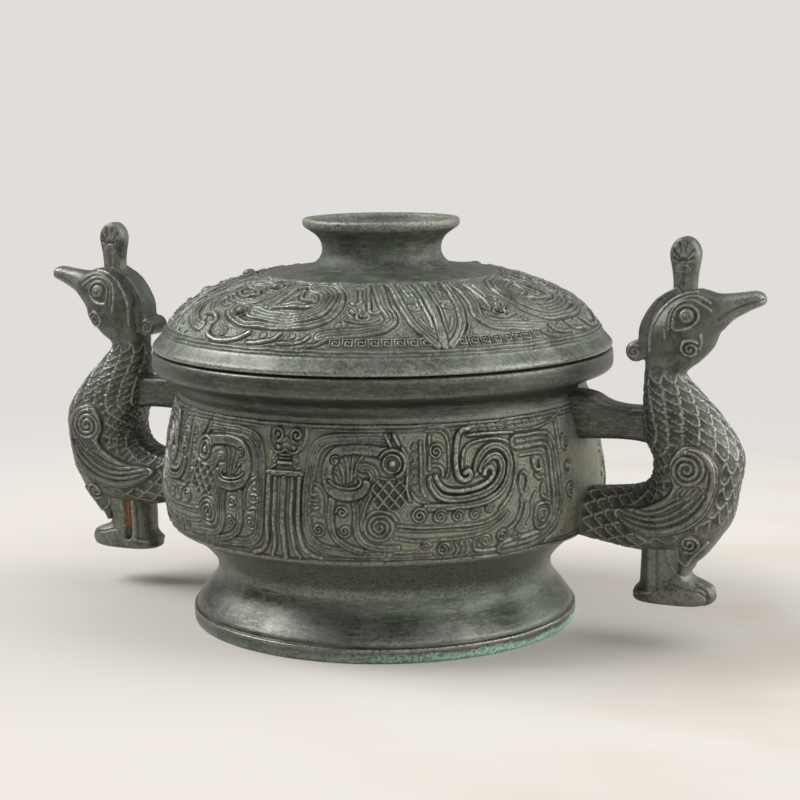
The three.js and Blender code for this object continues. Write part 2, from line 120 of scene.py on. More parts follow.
def spiral_line(middle, radius, turns, start=0.0, sense=1, inner=0.12):
    """A spiral from its outer end at the start angle in to its middle."""
    count = max(10, int(18 * turns * max(radius, 2) / 3))
    t = np.linspace(0, 1, count)
    r = radius * (1 - (1 - inner) * t)
    angle = math.radians(start) + sense * 2 * math.pi * turns * t
    return np.stack([middle[0] + r * np.cos(angle), middle[1] + r * np.sin(angle)], -1)


def ring_line(middle, radius, first=0.0, last=360.0):
    """Part of a circle, between two angles in degrees."""
    t = np.radians(np.linspace(first, last, max(12, int(abs(last - first) / 8))))
    return np.stack([middle[0] + radius * np.cos(t), middle[1] + radius * np.sin(t)], -1)


def blurred(field, reach):
    """A height field smoothed over about reach cells each way."""
    for axis in (0, 1, 0, 1):
        padding = [(0, 0), (0, 0)]
        padding[axis] = (reach + 1, reach)
        total = np.cumsum(np.pad(field, padding, mode="edge"), axis=axis)
        count = field.shape[axis]
        low = np.take(total, np.arange(count), axis=axis)
        high = np.take(total, np.arange(count) + 2 * reach + 1, axis=axis)
        field = (high - low) / (2 * reach + 1)
    return field


class Relief:
    """A height field in millimetres over a flat panel, raised stroke by stroke."""

    # Steepness of the moat round a form, and how far distances from it are measured in mm
    WALL = 2.4
    REACH = 7.0
    # Steepness of a rib's rounded edge, and the height that is left between ribs
    EDGE = 2.2
    SEAM = 0.45

    def __init__(self, low, high, step):
        self.low = np.array(low, float)
        self.step = step
        self.base = 0.0
        counts = np.ceil((np.array(high, float) - self.low) / step).astype(int) + 1
        axes = [self.low[i] + step * np.arange(counts[i]) for i in range(2)]
        self.grid = np.stack(np.meshgrid(*axes, indexing="ij"), -1)
        self.height = np.zeros(counts)
        self.nearest = np.full(counts, 1e3)

    def window(self, low, high):
        """The part of the grid between two corners."""
        first = np.floor((np.array(low) - self.low) / self.step).astype(int)
        last = np.ceil((np.array(high) - self.low) / self.step).astype(int) + 1
        first = np.clip(first, 0, self.height.shape)
        last = np.clip(last, 0, self.height.shape)
        return slice(first[0], last[0]), slice(first[1], last[1])

    def distance(self, line, reach):
        """Distance of the grid's points from a line, measured within reach of it."""
        far = np.full(self.height.shape, 1e3)
        for a, b in zip(line[:-1], line[1:]):
            near = self.window(np.minimum(a, b) - reach, np.maximum(a, b) + reach)
            offset = self.grid[near] - a
            run = b - a
            share = np.clip(offset @ run / max(run @ run, 1e-9), 0, 1)
            away = np.linalg.norm(offset - share[..., None] * run, axis=-1)
            far[near] = np.minimum(far[near], away)
        return far

    def lay(self, away, half, profile):
        """Puts a raised form on the field, with a clean V-shaped moat round it."""
        self.nearest = np.minimum(self.nearest, away - half)
        moat = self.base + self.WALL * np.maximum(away - half, 0)
        raised = np.where(away < half, self.base + profile, -9)
        self.height = np.maximum(np.minimum(self.height, moat), raised)

    def ridge(self, line, width, height, ribs=1):
        """A rounded ridge along a line, or a flat band that fine lines part into ribs."""
        half = width / 2
        away = self.distance(line, half + self.REACH)
        inside = np.clip(1 - away / half, 0, 1)
        shoulder = np.sqrt(np.clip(1 - (1 - np.minimum(inside * ribs * self.EDGE, 1)) ** 2, 0, 1))
        if ribs > 1:
            wave = 0.5 + 0.5 * np.cos(2 * math.pi * away * ribs / width + math.pi * (ribs % 2 == 0))
            shoulder = shoulder * (self.SEAM + (1 - self.SEAM) * wave**0.45)
        self.lay(away, half, height * shoulder)

    def strokes(self, table, placed=np.array):
        """Ridges through given points: width, height, ribs and points in each row of a table."""
        for width, height, ribs, points in table:
            self.ridge(smooth_line(placed(points)), width, height, ribs)

    def spirals(self, table, placed=np.array):
        """Spiral ridges, with middle, radius, turns, start, sense, width and height in each row."""
        for middle, radius, turns, start, sense, width, height in table:
            self.ridge(spiral_line(placed(middle), radius, turns, start, sense), width, height)

    def groove(self, line, width, depth):
        """A rounded groove along a line."""
        away = self.distance(line, width)
        self.height = self.height - depth * np.sqrt(np.clip(1 - (2 * away / width) ** 2, 0, 1))

    def boss(self, middle, radius, height):
        """A round boss."""
        away = np.linalg.norm(self.grid - np.array(middle, float), axis=-1)
        self.lay(away, radius, height * np.sqrt(np.clip(1 - (away / radius) ** 2, 0, 1)))

    def inside(self, outline):
        """Which of the grid's points lie inside a closed outline."""
        held = np.zeros(self.height.shape, bool)
        x, y = self.grid[..., 0], self.grid[..., 1]
        for (x0, y0), (x1, y1) in zip(outline, np.roll(outline, -1, 0)):
            if abs(y1 - y0) > 1e-9:
                held ^= ((y0 > y) != (y1 > y)) & (x < (x1 - x0) * (y - y0) / (y1 - y0) + x0)
        return held

    def plate(self, outline, height, edge):
        """A flat raised plate inside a closed smooth outline."""
        line = smooth_line(outline, closed=True)
        away = self.distance(line, 3.0)
        held = self.inside(line)
        rise = np.clip(away / edge, 0, 1)
        self.nearest = np.minimum(self.nearest, np.where(held, 0, away))
        self.height = np.where(held, height * np.sqrt(1 - (1 - rise) ** 2), self.height)

    def thunder_ground(self, u, v, height, where):
        """A fine line beside each form, and square spirals on the rest of the ground; u and v count cells."""
        hand = np.where((np.floor(u) + np.floor(v)) % 2 > 0, 1, -1)
        across = hand * 2 * (u - np.floor(u) - 0.5)
        along = 2 * (v - np.floor(v) - 0.5)
        turn = np.arctan2(along, across) / (2 * math.pi)
        wave = 0.5 + 0.5 * np.cos(2 * math.pi * (2 * np.maximum(np.abs(across), np.abs(along)) - turn))
        line_away, spirals_away = 1.35, 2.0
        clear = np.clip((self.nearest - spirals_away) / 0.4, 0, 1)
        beside = np.exp(-(((self.nearest - line_away) / 0.42) ** 2))
        lines = np.maximum(np.sqrt(wave) * clear, beside)
        self.height = np.maximum(self.height, height * lines * where)

    def sample(self, field, points):
        """Values of a field at any points of the panel, blended between the grid's points."""
        place = np.clip((points - self.low) / self.step, 0, np.array(field.shape) - 1.001)
        base = np.floor(place).astype(int)
        fx, fy = np.moveaxis(place - base, -1, 0)
        i, j = np.moveaxis(base, -1, 0)
        near = field[i, j] * (1 - fx) + field[i + 1, j] * fx
        far = field[i, j + 1] * (1 - fx) + field[i + 1, j + 1] * fx
        return near * (1 - fy) + far * fy


# Belly ornament on a quarter of the wall: mm round from the mask's nose, and height above the table.
# Each stroke is width, height, ribs and the points it passes.
MASK_PILLAR = [
    (1.3, 1.0, 1, [(9.4, 107.4), (9.6, 103.4), (8.4, 100), (6.4, 98.4)]),
    (1.0, 0.9, 1, [(0, 103.2), (1.4, 101.8), (3.4, 101.2), (5.6, 100.6)]),
    (1.1, 1.1, 1, [(7.4, 98.8), (4.8, 96.6), (1.9, 96.8), (0, 98.2)]),
    (1.0, 1.2, 1, [(-1, 95.7), (2.4, 95.7)]),
    (1.0, 1.2, 1, [(-1, 94.2), (2.6, 94.2)]),
    (1.7, 1.7, 1, [(-1, 92.2), (3.1, 92.2), (4.1, 92.6)]),
    (1.0, 1.0, 1, [(4.6, 91.2), (6.1, 89.8), (7.3, 90.4)]),
    (2.6, 1.4, 1, [(-2, 87.6), (8.0, 87.6)]),
    (2.4, 1.3, 1, [(0, 85.4), (0, 66), (0, 50.5)]),
    (1.6, 1.3, 1, [(4.3, 85.6), (4.2, 66), (4.7, 56), (6.8, 50.5)]),
    (2.0, 1.4, 1, [(7.6, 86), (7.5, 68), (8.3, 58), (11.4, 52.8), (17, 50.6)]),
]
PHOENIX = [
    (4.2, 1.1, 3, [(47, 104.2), (30, 104.2), (20, 103.2), (15.5, 101), (13.2, 96), (12, 89), (11.4, 80),
                   (11.2, 70), (12.2, 62), (14.5, 57.6), (19, 55), (26, 54.1), (34, 53.6), (44, 53.4)]),
    (1.2, 1.0, 1, [(44, 101.8), (28, 102), (21, 101.1), (17, 98), (15, 92), (14, 86), (13, 81.6),
                   (13.7, 79.2), (15.4, 79.5)]),
    (1.2, 0.8, 1, [(14.4, 84.6), (17.4, 83), (19.6, 79.8), (20.4, 75.6), (20.2, 70)]),
    (1.0, 0.8, 1, [(12.6, 76.8), (16.6, 76.8)]),
    (1.0, 0.8, 1, [(12.4, 73.8), (15.4, 73.2), (16.8, 74)]),
    (1.0, 0.8, 1, [(12.4, 70.4), (15, 71), (17.4, 70.2)]),
    (4.4, 1.2, 3, [(36, 91.6), (39.4, 91), (41.2, 88), (40.8, 84), (38.6, 80), (36.4, 76), (35.2, 71),
                   (35.4, 66)]),
    (3.0, 1.2, 2, [(22.6, 77), (22.2, 70), (22.8, 64), (25, 59.6), (29, 56.6), (35, 54.6)]),
    (3.0, 1.1, 2, [(32.6, 77), (33.4, 72), (33.2, 66), (34.4, 61), (38, 57.4), (44, 55.8), (51, 55.8)]),
    (4.8, 1.8, 1, [(46, 98), (38, 99), (29, 99), (23.6, 97.2), (20.8, 92.6), (20.3, 87), (21.8, 82.4),
                   (25.6, 80), (31, 79.4), (35.4, 80.8), (37.4, 84.2)]),
    (1.1, 1.9, 1, [(21.2, 85.6), (24.2, 83.4), (29, 82.5), (33.4, 82.9), (35.3, 84.7), (34.6, 86.6),
                   (33, 86.3)]),
    (1.0, 1.0, 1, [(28, 84.8), (27.2, 89.6), (25.6, 92.6)]),
    (1.0, 1.0, 1, [(29.6, 85), (29.4, 91), (28, 96)]),
    (1.0, 1.0, 1, [(31, 85.8), (31.4, 91.6), (32, 96.4)]),
    (1.0, 1.0, 1, [(32.4, 87.6), (33.6, 92.4), (36, 96.2)]),
    (1.0, 1.0, 1, [(26.4, 86.4), (25.2, 88.6), (23.6, 89.8)]),
    (1.5, 1.5, 1, [(46.2, 105.4), (48.6, 100.6)]),
    (1.5, 1.5, 1, [(49.8, 105.6), (52.2, 101)]),
    (1.2, 1.3, 1, [(53.6, 99.8), (55.8, 95), (55.7, 88), (55.2, 82), (56.6, 77)]),
    (1.0, 1.1, 1, [(42.2, 87.2), (47, 86.4), (52.6, 87), (54.8, 88.4)]),
    (1.1, 1.0, 1, [(51, 66.2), (58, 65.4), (70, 64.9), (85, 65), (93, 66.4), (98, 69.6), (100.6, 73.6)]),
    (0.9, 0.8, 1, [(51.6, 64.2), (60, 63.6), (72, 63.1), (86, 63.2), (95, 65), (101, 69)]),
    (1.2, 1.0, 1, [(61.8, 102), (61.8, 90), (62, 82), (63.4, 78.4)]),
    (1.0, 0.9, 1, [(57.2, 80.6), (58.6, 78.2), (61, 76.4), (64.6, 75.6)]),
    (1.0, 0.9, 1, [(57.4, 83), (59.4, 80.2), (61.2, 79.2)]),
    (1.1, 1.0, 1, [(65, 106.6), (70, 106.6), (73.2, 105), (74.7, 101.4), (74.9, 95), (74.5, 90),
                   (73.2, 86.6)]),
    (1.0, 0.9, 1, [(66, 108.3), (71.6, 108.2), (75.6, 105.8), (76.4, 101)]),
    (1.3, 1.2, 1, [(66.6, 91.8), (69.6, 91.5), (71.4, 89.6), (71.4, 87)]),
    (1.3, 1.2, 1, [(66.2, 104.4), (65.7, 96), (65.6, 90)]),
    (1.4, 1.2, 1, [(98, 70.6), (103.4, 76), (107, 83), (107.9, 91), (106.2, 98), (100, 101), (92, 101.3),
                   (86, 100.2), (82.4, 97.8), (80.9, 93.8), (80.7, 90)]),
    (3.4, 1.7, 2, [(63.6, 73.8), (74, 73.6), (84, 73.9), (92, 75.2), (98.8, 78.6), (103, 84), (104.6, 90),
                   (103.4, 94.8), (99.4, 97.9), (94.4, 97.9), (90.6, 95.6), (88, 91.4), (87, 87)]),
    (3.4, 1.8, 2, [(66, 86), (67, 82), (70, 78.4), (75, 76.9), (82, 76.8), (90, 78.2), (96, 81.2),
                   (99.6, 85.6), (100.6, 90), (98.8, 93.4), (95.4, 93.8), (92, 91.8), (89.6, 88.4)]),
    (2.2, 2.0, 1, [(68, 87.2), (69.8, 83.2), (73.5, 80.8), (80, 80.2), (87, 80.9), (92.4, 83), (95.6, 86.4),
                   (94.8, 89.2), (92.2, 88.6), (91, 86.4)]),
    (2.6, 1.9, 1, [(85, 106.6), (81.6, 105.8), (79.3, 102.6), (78.2, 97), (77.8, 91), (78.4, 87.2),
                   (80.4, 84.8), (83, 84.9), (84.5, 86.9), (83.4, 88.6), (81.9, 87.8)]),
    (1.6, 1.5, 1, [(84.6, 103.6), (92, 103.9), (99, 103.7), (108, 103)]),
    (1.1, 0.9, 1, [(50, 60.4), (60, 59), (75, 58.9), (88, 60.2), (96, 63.2), (102, 68)]),
    (1.0, 0.8, 1, [(49.6, 53.9), (60, 53.9)]),
    (1.0, 0.8, 1, [(49.6, 52), (66, 52)]),
    (1.0, 0.9, 1, [(76.8, 57.2), (78.4, 54), (77, 51)]),
    (1.0, 0.9, 1, [(79.4, 57.2), (80.9, 54), (79.6, 51)]),
    (1.0, 0.9, 1, [(82, 57.2), (83.4, 54), (82.2, 51)]),
    (1.4, 1.1, 1, [(86.2, 58), (86.2, 54), (88.2, 52.2), (98, 52)]),
]
NESTED_FRAME = [
    (7.4, 1.4, 3, [(109.5, 98.6), (118, 98.6), (125.6, 98.4), (130.2, 96.6), (132, 92), (132.2, 80),
                   (131.4, 68), (128.6, 60), (122.6, 55.4), (113, 53.4), (101, 52.8)]),
    (1.4, 1.1, 1, [(111, 92.6), (118, 92.5), (123.8, 92), (126.2, 89), (126.6, 80), (126.4, 73)]),
    (1.7, 1.5, 1, [(118.4, 90), (118.8, 86.6), (121.2, 84.8), (123.3, 86.2), (122.6, 88.2)]),
    (1.5, 1.3, 1, [(119, 83), (121, 81.4), (123.4, 81.6)]),
    (1.5, 1.3, 1, [(123.6, 79), (121.8, 76.6), (121.6, 73.6), (123.4, 72)]),
    (1.4, 1.2, 1, [(110, 76), (109.2, 81), (110.8, 85), (113.4, 84.2), (113.6, 80), (112.2, 77)]),
    (1.4, 1.2, 1, [(106.8, 60.6), (110.4, 65.6), (112, 71.4)]),
    (1.3, 1.1, 1, [(101.6, 60.6), (106, 63.6), (109, 70), (109.4, 74)]),
    (1.3, 1.1, 1, [(113, 62), (115, 66), (115.4, 71), (117.4, 75)]),
    (1.2, 1.0, 1, [(110, 103.6), (117, 103.4), (124, 103.6), (131, 104.6), (138, 106.4), (146, 109.4)]),
    (1.8, 1.4, 1, [(137.4, 103.4), (137, 90), (136.4, 74), (134.8, 62), (131.4, 54.6), (126, 51.4)]),
    (1.2, 1.0, 1, [(140.4, 106), (139.8, 98)]),
]
FRAME_RINGS = [
    (1.5, 1.2, [(118.5, 69.2), (125.4, 69.4), (127, 64.4), (124.8, 59.6), (120, 58.8), (117.3, 63)]),
    (1.1, 1.0, [(120.6, 66.8), (123.6, 66.8), (124.2, 63.6), (122.2, 61.6), (120.2, 63.4)]),
]
# Spirals: middle, radius, turns, start angle, sense, width, height
BELLY_SPIRALS = [
    ((5.1, 104.4), 3.3, 1.4, 250, -1, 1.3, 1.4),
    ((5.4, 93.6), 1.8, 1.3, 90, 1, 0.9, 1.0),
    ((23.8, 94.3), 2.0, 1.3, 60, 1, 1.0, 1.6),
    ((33.4, 85), 0.9, 0.8, 60, 1, 0.8, 1.2),
    ((27.2, 72.2), 2.6, 1.5, 180, -1, 1.1, 1.2),
    ((28.4, 63.8), 2.9, 1.8, 180, 1, 1.0, 1.1),
    ((16.6, 64.2), 3.2, 1.9, 160, 1, 1.0, 1.0),
    ((43.4, 65.6), 7.6, 3.1, 20, 1, 1.2, 0.9),
    ((69, 97.6), 3.6, 1.9, 0, 1, 1.2, 1.3),
    ((60.6, 70.2), 3.4, 1.9, 30, 1, 1.1, 1.2),
    ((69.6, 69.6), 3.1, 1.9, 30, 1, 1.1, 1.2),
    ((77.8, 69.2), 2.7, 1.7, 30, 1, 1.0, 1.1),
    ((85.4, 69.4), 2.4, 1.6, 30, 1, 1.0, 1.0),
    ((92.6, 71.2), 2.0, 1.5, 30, 1, 1.0, 1.0),
    ((71.6, 54.6), 3.0, 1.9, 0, 1, 1.0, 1.0),
    ((63.4, 56.4), 2.2, 1.6, 0, 1, 0.9, 0.9),
    ((91.4, 56.6), 2.8, 1.8, 180, -1, 1.0, 1.0),
    ((99.4, 58.2), 2.8, 1.7, 0, 1, 1.0, 1.0),
    ((107, 56.8), 2.2, 1.5, 0, -1, 0.9, 0.9),
    ((104, 107), 2.2, 1.5, 200, -1, 1.0, 1.2),
    ((143, 94), 3.4, 1.8, 90, 1, 1.2, 1.3),
    ((143, 73), 3.2, 1.8, 270, -1, 1.2, 1.2),
]
# Border lines of the belly: height above the table, width, lift and where each starts
BELLY_BORDERS = [(108.9, 1.5, 0.9, -2), (107.1, 1.0, 0.7, 13), (48.9, 1.5, 1.0, -2), (50.6, 1.0, 0.7, 13)]
BELLY_END = 167
PHOENIX_EYE = (49, 93)
# Bosses: middle, radius, height
BELLY_BOSSES = [
    ((3.7, 98.9), 1.3, 1.4),
    (PHOENIX_EYE, 1.8, 1.8),
    ((142.6, 83.6), 2.2, 1.4),
    ((122, 63.8), 0.9, 0.9),
]

# Lid ornament on a quarter: degrees from the pattern's axis, and mm in from the lid's edge
LID_SPAN = 123.4
LID_RANGE = (9.6, 67.4)
# Border lines of the lid: mm in from the edge, width and lift
LID_BORDERS = [(65.6, 1.4, 0.9), (12.4, 1.3, 0.8), (10.6, 1.0, 0.6)]
LID_STROKES = [
    (3.6, 1.6, 1, [(0, 64), (0, 50), (0, 36), (0, 14.5)]),
    (1.2, 1.0, 1, [(3.4, 63), (2.6, 50), (2.2, 36), (1.6, 22)]),
    (3.6, 1.6, 2, [(12, 64), (10.4, 54), (9.4, 44), (8.2, 35), (6.4, 26), (4, 19), (1.8, 15)]),
    (1.0, 0.9, 1, [(7.4, 62), (6.4, 53), (5.6, 49)]),
    (1.2, 1.1, 1, [(6.6, 43), (4.4, 42), (4.0, 38.5), (5.6, 37)]),
    (1.0, 0.9, 1, [(4.6, 31), (3.6, 27), (2.4, 23)]),
    (5.2, 1.4, 3, [(17, 63), (15.6, 52), (14.4, 41), (12.9, 34), (12.8, 29), (14.8, 25), (18, 23.4),
                   (24, 22), (31, 19.6)]),
    (1.4, 1.3, 1, [(20.4, 60), (19.8, 50), (19.2, 41), (18.6, 36), (17.2, 34.6), (16.2, 36.2)]),
    (1.3, 1.2, 1, [(23.6, 58), (22.8, 50), (22, 44.6), (23.4, 42), (24.8, 43.6), (24.2, 46.4)]),
    (1.3, 1.2, 1, [(24.4, 37.6), (23.2, 34.6), (21.6, 35.4), (21.8, 38.4)]),
    (1.3, 1.2, 1, [(16.4, 31), (19, 29), (22, 28.6), (24.8, 30)]),
    (4.2, 1.5, 2, [(65.8, 37.6), (65.2, 32.2), (60.6, 27.6), (54.5, 24.9), (46, 24.4), (38.4, 25),
                   (33, 27.6), (29.8, 33), (28.8, 42), (30, 51), (33.6, 58), (39, 61.4), (46, 62)]),
    (8.2, 1.4, 4, [(55.4, 33), (50, 31.2), (44, 30.5), (39, 31.2), (35.4, 34), (33.6, 39), (33.2, 45),
                   (34.2, 51), (37, 55.6), (41.4, 57.6)]),
    (2.2, 1.8, 1, [(51, 37.2), (46, 38.2), (42, 38.6), (37, 39)]),
    (1.6, 1.7, 1, [(50.8, 37.8), (50.2, 46), (49.2, 54)]),
    (1.4, 1.5, 1, [(49, 54.6), (46.8, 57), (43.6, 58)]),
    (1.3, 1.5, 1, [(48, 41.4), (46.8, 47), (45.6, 53)]),
    (1.3, 1.5, 1, [(45.2, 53), (43.6, 47.4), (41.4, 44.4), (37.8, 43.2)]),
    (1.1, 1.3, 1, [(47.4, 41), (43, 41.2), (39.6, 41.2)]),
    (5.6, 1.4, 3, [(71.4, 20.4), (76, 21.8), (80.8, 25.6), (83, 31), (83.6, 41), (81.6, 51), (76, 58.4),
                   (67, 61.4), (58, 61.8)]),
    (1.4, 1.2, 1, [(89, 61), (89, 46), (88.8, 34), (88.2, 24), (86, 17)]),
    (1.7, 1.6, 1, [(74.6, 50.2), (75.2, 47.4), (71, 44.9), (66, 44), (62.8, 46.4), (65.4, 50.2),
                   (70, 51.8), (73.6, 51.4)]),
    (1.2, 1.1, 1, [(77.6, 53), (79, 45), (78.2, 36), (74.8, 31.4)]),
    (1.3, 1.2, 1, [(55.6, 52), (56, 45), (59, 39.6), (65, 38.6), (71, 39.8), (75.4, 43)]),
    (1.1, 1.0, 1, [(53, 53), (53.2, 46), (53.8, 39.4)]),
    (1.0, 1.0, 1, [(69, 35), (73, 36), (75.4, 39)]),
    (2.2, 1.6, 1, [(74, 28.2), (69.6, 28), (66.8, 24.8), (66.8, 20.4), (65.6, 16.6), (62.4, 14.8),
                   (58, 15), (54, 16.8), (51.4, 20)]),
    (1.6, 1.4, 1, [(50.8, 15), (47, 15.6), (43.4, 17.4), (41.8, 20.6)]),
    (1.5, 1.4, 1, [(41.6, 15.4), (38, 16), (35.2, 17.4), (34, 20)]),
    (1.4, 1.3, 1, [(33.8, 14.8), (31.4, 15.6), (29.4, 17.8)]),
]
LID_SPIRALS = [
    ((5.4, 56), 1.9, 1.4, 0, 1, 0.9, 1.0),
    ((60.6, 19.6), 2.2, 1.5, 0, 1, 0.9, 1.1),
    ((46.8, 19.4), 1.6, 1.5, 0, 1, 0.8, 1.0),
    ((38.4, 19.8), 1.4, 1.4, 0, 1, 0.8, 1.0),
    ((26.8, 26.6), 1.6, 1.5, 90, -1, 0.8, 1.0),
    ((72.8, 25), 1.6, 1.4, 90, -1, 0.8, 1.0),
    ((77.4, 17), 1.6, 1.4, 0, 1, 0.8, 1.0),
    ((82.6, 17.6), 1.8, 1.5, 0, 1, 0.8, 1.0),
]
# Eye bosses of the lid: degrees, mm in from the edge, radius
LID_EYES = [(60.4, 32.8, 3.1), (69, 47.8, 1.3), (60.2, 56.4, 3.2), (20.6, 32.8, 1.7)]

# Turned profiles in (radius, height), each list a smooth run that ends in an edge
FOOT_RUNS = [
    [(93.0, 0.0), (93.5, 0.6), (93.7, 3.0), (93.7, 5.6), (93.4, 6.4), (92.7, 6.6)],
    [(92.2, 7.0), (91.8, 8.6), (90.2, 11), (87, 15), (83.7, 19), (82, 22.5), (81.45, 25.2), (81.3, 27.4)],
    [(77.8, 27.4), (78.4, 22.5), (80.2, 18.8), (83.4, 15), (86.8, 10.8), (89, 7.6), (89.9, 4.6),
     (90.1, 0.6), (90.6, 0.0)],
]
UNDERSIDE = [(81.1, 23), (81.25, 25), (81.5, 27.6), (82.5, 31), (86, 35.6), (90, 39.6), (95, 43.6),
             (99, 45.8), (101.2, 46.8), (102.4, 47.9)]
BOWL_FLOOR = [(0, 23.5), (40, 25.2), (70, 26.8), (76, 26.4), (79.4, 24.4), (81.1, 23)]
BELLY = [(102.4, 47.9), (103.3, 50), (104.6, 54), (106.3, 63), (106.6, 68), (106, 75), (104.2, 86),
         (101.6, 100), (98.9, 111.6)]
RIM = [(98.9, 111.6), (98.3, 113.6), (98.4, 115.4), (99.5, 117.3), (102.4, 119.2), (106.4, 120.7),
       (109.2, 121.8), (110.6, 123), (111.0, 124.8), (111.0, 127.4), (110.8, 129.8), (110.3, 130.9),
       (109.4, 131.3)]
BOWL_INSIDE = [
    [(105.6, 132.0), (105.0, 131.4), (105.0, 123.0)],
    [(104.2, 122.5), (98.0, 121.5), (94.8, 116), (95.2, 112)],
    [(95.2, 112), (98, 100), (100.7, 86), (102.6, 75), (103.1, 68), (102.8, 63), (101, 54), (98.6, 50),
     (93, 46.6), (87, 42.4), (82, 37.6), (76, 32.4), (60, 29.6), (30, 27.6), (0, 27.0)],
]
LID_DOME = [(109.9, 132.3), (110.5, 132.9), (110.5, 133.7), (109.9, 134.8), (107.5, 137.5),
            (104.2, 141.8), (100, 147), (96.5, 150.4), (92.5, 153.4), (86, 157.3), (79, 160.5),
            (70.5, 163.5), (62, 165.8), (50.5, 168.2), (42, 169.5), (34, 170.0), (20, 170.0), (0, 170.0)]
LID_UNDER = [
    [(0, 166.5), (34, 166.4), (50, 164.6), (62, 162.2), (79, 157), (92, 149.8), (97.5, 144.5), (99.8, 139)],
    [(100, 137), (100, 125.6), (100.6, 125.0), (102.4, 125.0), (103, 125.6), (103, 131.9), (103.4, 132.3)],
]
KNOB_RUNS = [
    [(37.4, 169.8), (35.6, 170.3), (33.6, 171.0), (31.8, 172.2), (30.0, 174.0), (28.9, 176.2),
     (28.6, 178.6), (29.2, 181.8), (31.4, 185), (34.9, 187.6), (37.2, 189.2), (37.8, 190.8),
     (37.7, 192.2), (37.0, 193.0)],
    [(35.0, 193.0), (33.8, 192.2), (32.8, 190.4), (30.4, 187), (26.8, 184.2), (24.6, 181.4),
     (23.9, 178.2), (24.3, 175.4), (26, 172.6), (28, 170.9), (29.4, 170.3)],
    [(30, 169.6), (36.6, 169.4)],
]

# Bird's ribs from tail to beak, in hundredths of its length out from the belly and of its height
# above the soles: upper point, lower point, and half breadth in hundredths
RIBS = [
    (-12, 35, -14, 19.5, 58),
    (12, 35.5, 12, 17.5, 68),
    (30, 37, 34, 16, 87),
    (37.5, 40.5, 62, 17, 97),
    (39, 44.5, 81, 24.5, 100),
    (38, 48.5, 87, 37, 100),
    (33, 53.5, 89, 48.5, 95),
    (32, 60, 76, 60, 79),
    (32, 67, 62.5, 68, 61),
    (32.5, 73, 55.5, 73, 53),
    (32.5, 77, 63.5, 77, 61),
    (32, 82.5, 71, 81.5, 68),
    (34.5, 88.5, 74.5, 86, 71),
    (42, 95, 77, 87.4, 62),
    (53, 99, 80.4, 89.4, 53),
    (64, 99.8, 84, 91.1, 41),
    (74, 98.6, 88.4, 92.5, 33),
    (85.5, 99.1, 93, 93.9, 30),
    (94.4, 99.8, 96.6, 94.8, 28),
    (98.6, 99.2, 98.8, 95.3, 23),
    (100.5, 97.9, 100.6, 96.2, 13),
]
# Leg block from the sole up: height, back, front and half breadth
LEG_LEVELS = [
    (19.5, 129.0, 163.6, 10.0),
    (20.3, 128.2, 165.4, 10.8),
    (22.0, 128.0, 166.4, 11.2),
    (24.7, 128.6, 166.4, 11.2),
    (27.4, 130.8, 164.8, 10.8),
    (29.2, 131.3, 160.6, 10.4),
    (30.8, 131.5, 156.8, 10.2),
    (33.0, 131.6, 155.0, 10.2),
    (37.0, 131.8, 155.8, 10.6),
    (42.0, 132.0, 159.0, 11.2),
    (54.0, 132.0, 160.0, 12.0),
]
# Bird's flank, in (x, z) of the right-hand bird
WING = [(159.1, 95.2), (165.6, 92.5), (170.1, 86.5), (170.4, 80.2), (169.4, 74.4), (166, 65.6),
        (159.1, 58.8), (149.4, 54.7), (140.3, 53.3), (131.7, 55.1), (125, 59.1), (121.6, 62.8),
        (128.3, 64.4), (136.2, 65.4), (144, 68.9), (149.2, 72.9), (151.6, 77.5), (149.8, 83.1),
        (150.5, 89.2), (154.3, 93.9)]
WING_STROKES = [
    (2.6, 1.5, 1, [(156, 92.4), (160, 93.2), (164.6, 90.9), (167.8, 86), (168.2, 80), (167, 74.6),
                   (163.8, 67), (157.8, 61.2), (149, 57.0), (140.4, 55.7), (132.6, 57.2), (126.6, 60.4)]),
    (1.8, 1.5, 1, [(164.6, 73.6), (161.4, 68.6), (156, 63.8), (148.6, 60.0), (140.4, 58.6),
                   (132.4, 59.6), (125.8, 61.8)]),
    (1.8, 1.5, 1, [(160.4, 71.6), (155, 66.8), (148, 62.8), (140.6, 61.2), (133, 61.8), (127, 62.8)]),
    (1.8, 1.5, 1, [(156, 71.2), (151.2, 68.4), (146.4, 65.6), (140.4, 63.6), (134, 63.6)]),
    (1.0, 1.4, 1, [(164.9, 76.6), (162.4, 73.2)]),
    (1.0, 1.4, 1, [(162.6, 77.2), (160.2, 73.8)]),
    (1.0, 1.4, 1, [(160.2, 77.2), (157.8, 73.8)]),
    (1.0, 1.4, 1, [(157.8, 76.8), (155.4, 73.4)]),
    (1.0, 1.4, 1, [(155.4, 76.6), (152.8, 73.2)]),
]
HEAD_STROKES = [
    (1.0, 0.8, 1, [(137, 136), (137.6, 145), (140.8, 152.6), (145.6, 158.6), (151.4, 162), (157.4, 163.2)]),
    (0.9, 0.8, 1, [(144.8, 143), (144.7, 150.2), (147.2, 156.7), (152.3, 160.5), (158, 161.5),
                   (163.9, 158.8)]),
    (0.9, 0.8, 1, [(146.6, 146.7), (146.9, 153.1), (150.1, 158.2), (155.9, 159.8), (161.7, 157.4),
                   (164.6, 155.4)]),
    (1.1, 0.8, 1, [(160.4, 144.8), (160.6, 141.6), (159.6, 138.2)]),
]
BIRD_EYE = (154.2, 152.9)
EYE_RING = [(149.1, 146.9), (154.9, 147.5), (159.2, 151.6), (158.4, 155.8), (154, 157.6),
            (149.7, 155.5), (148.3, 151.1)]

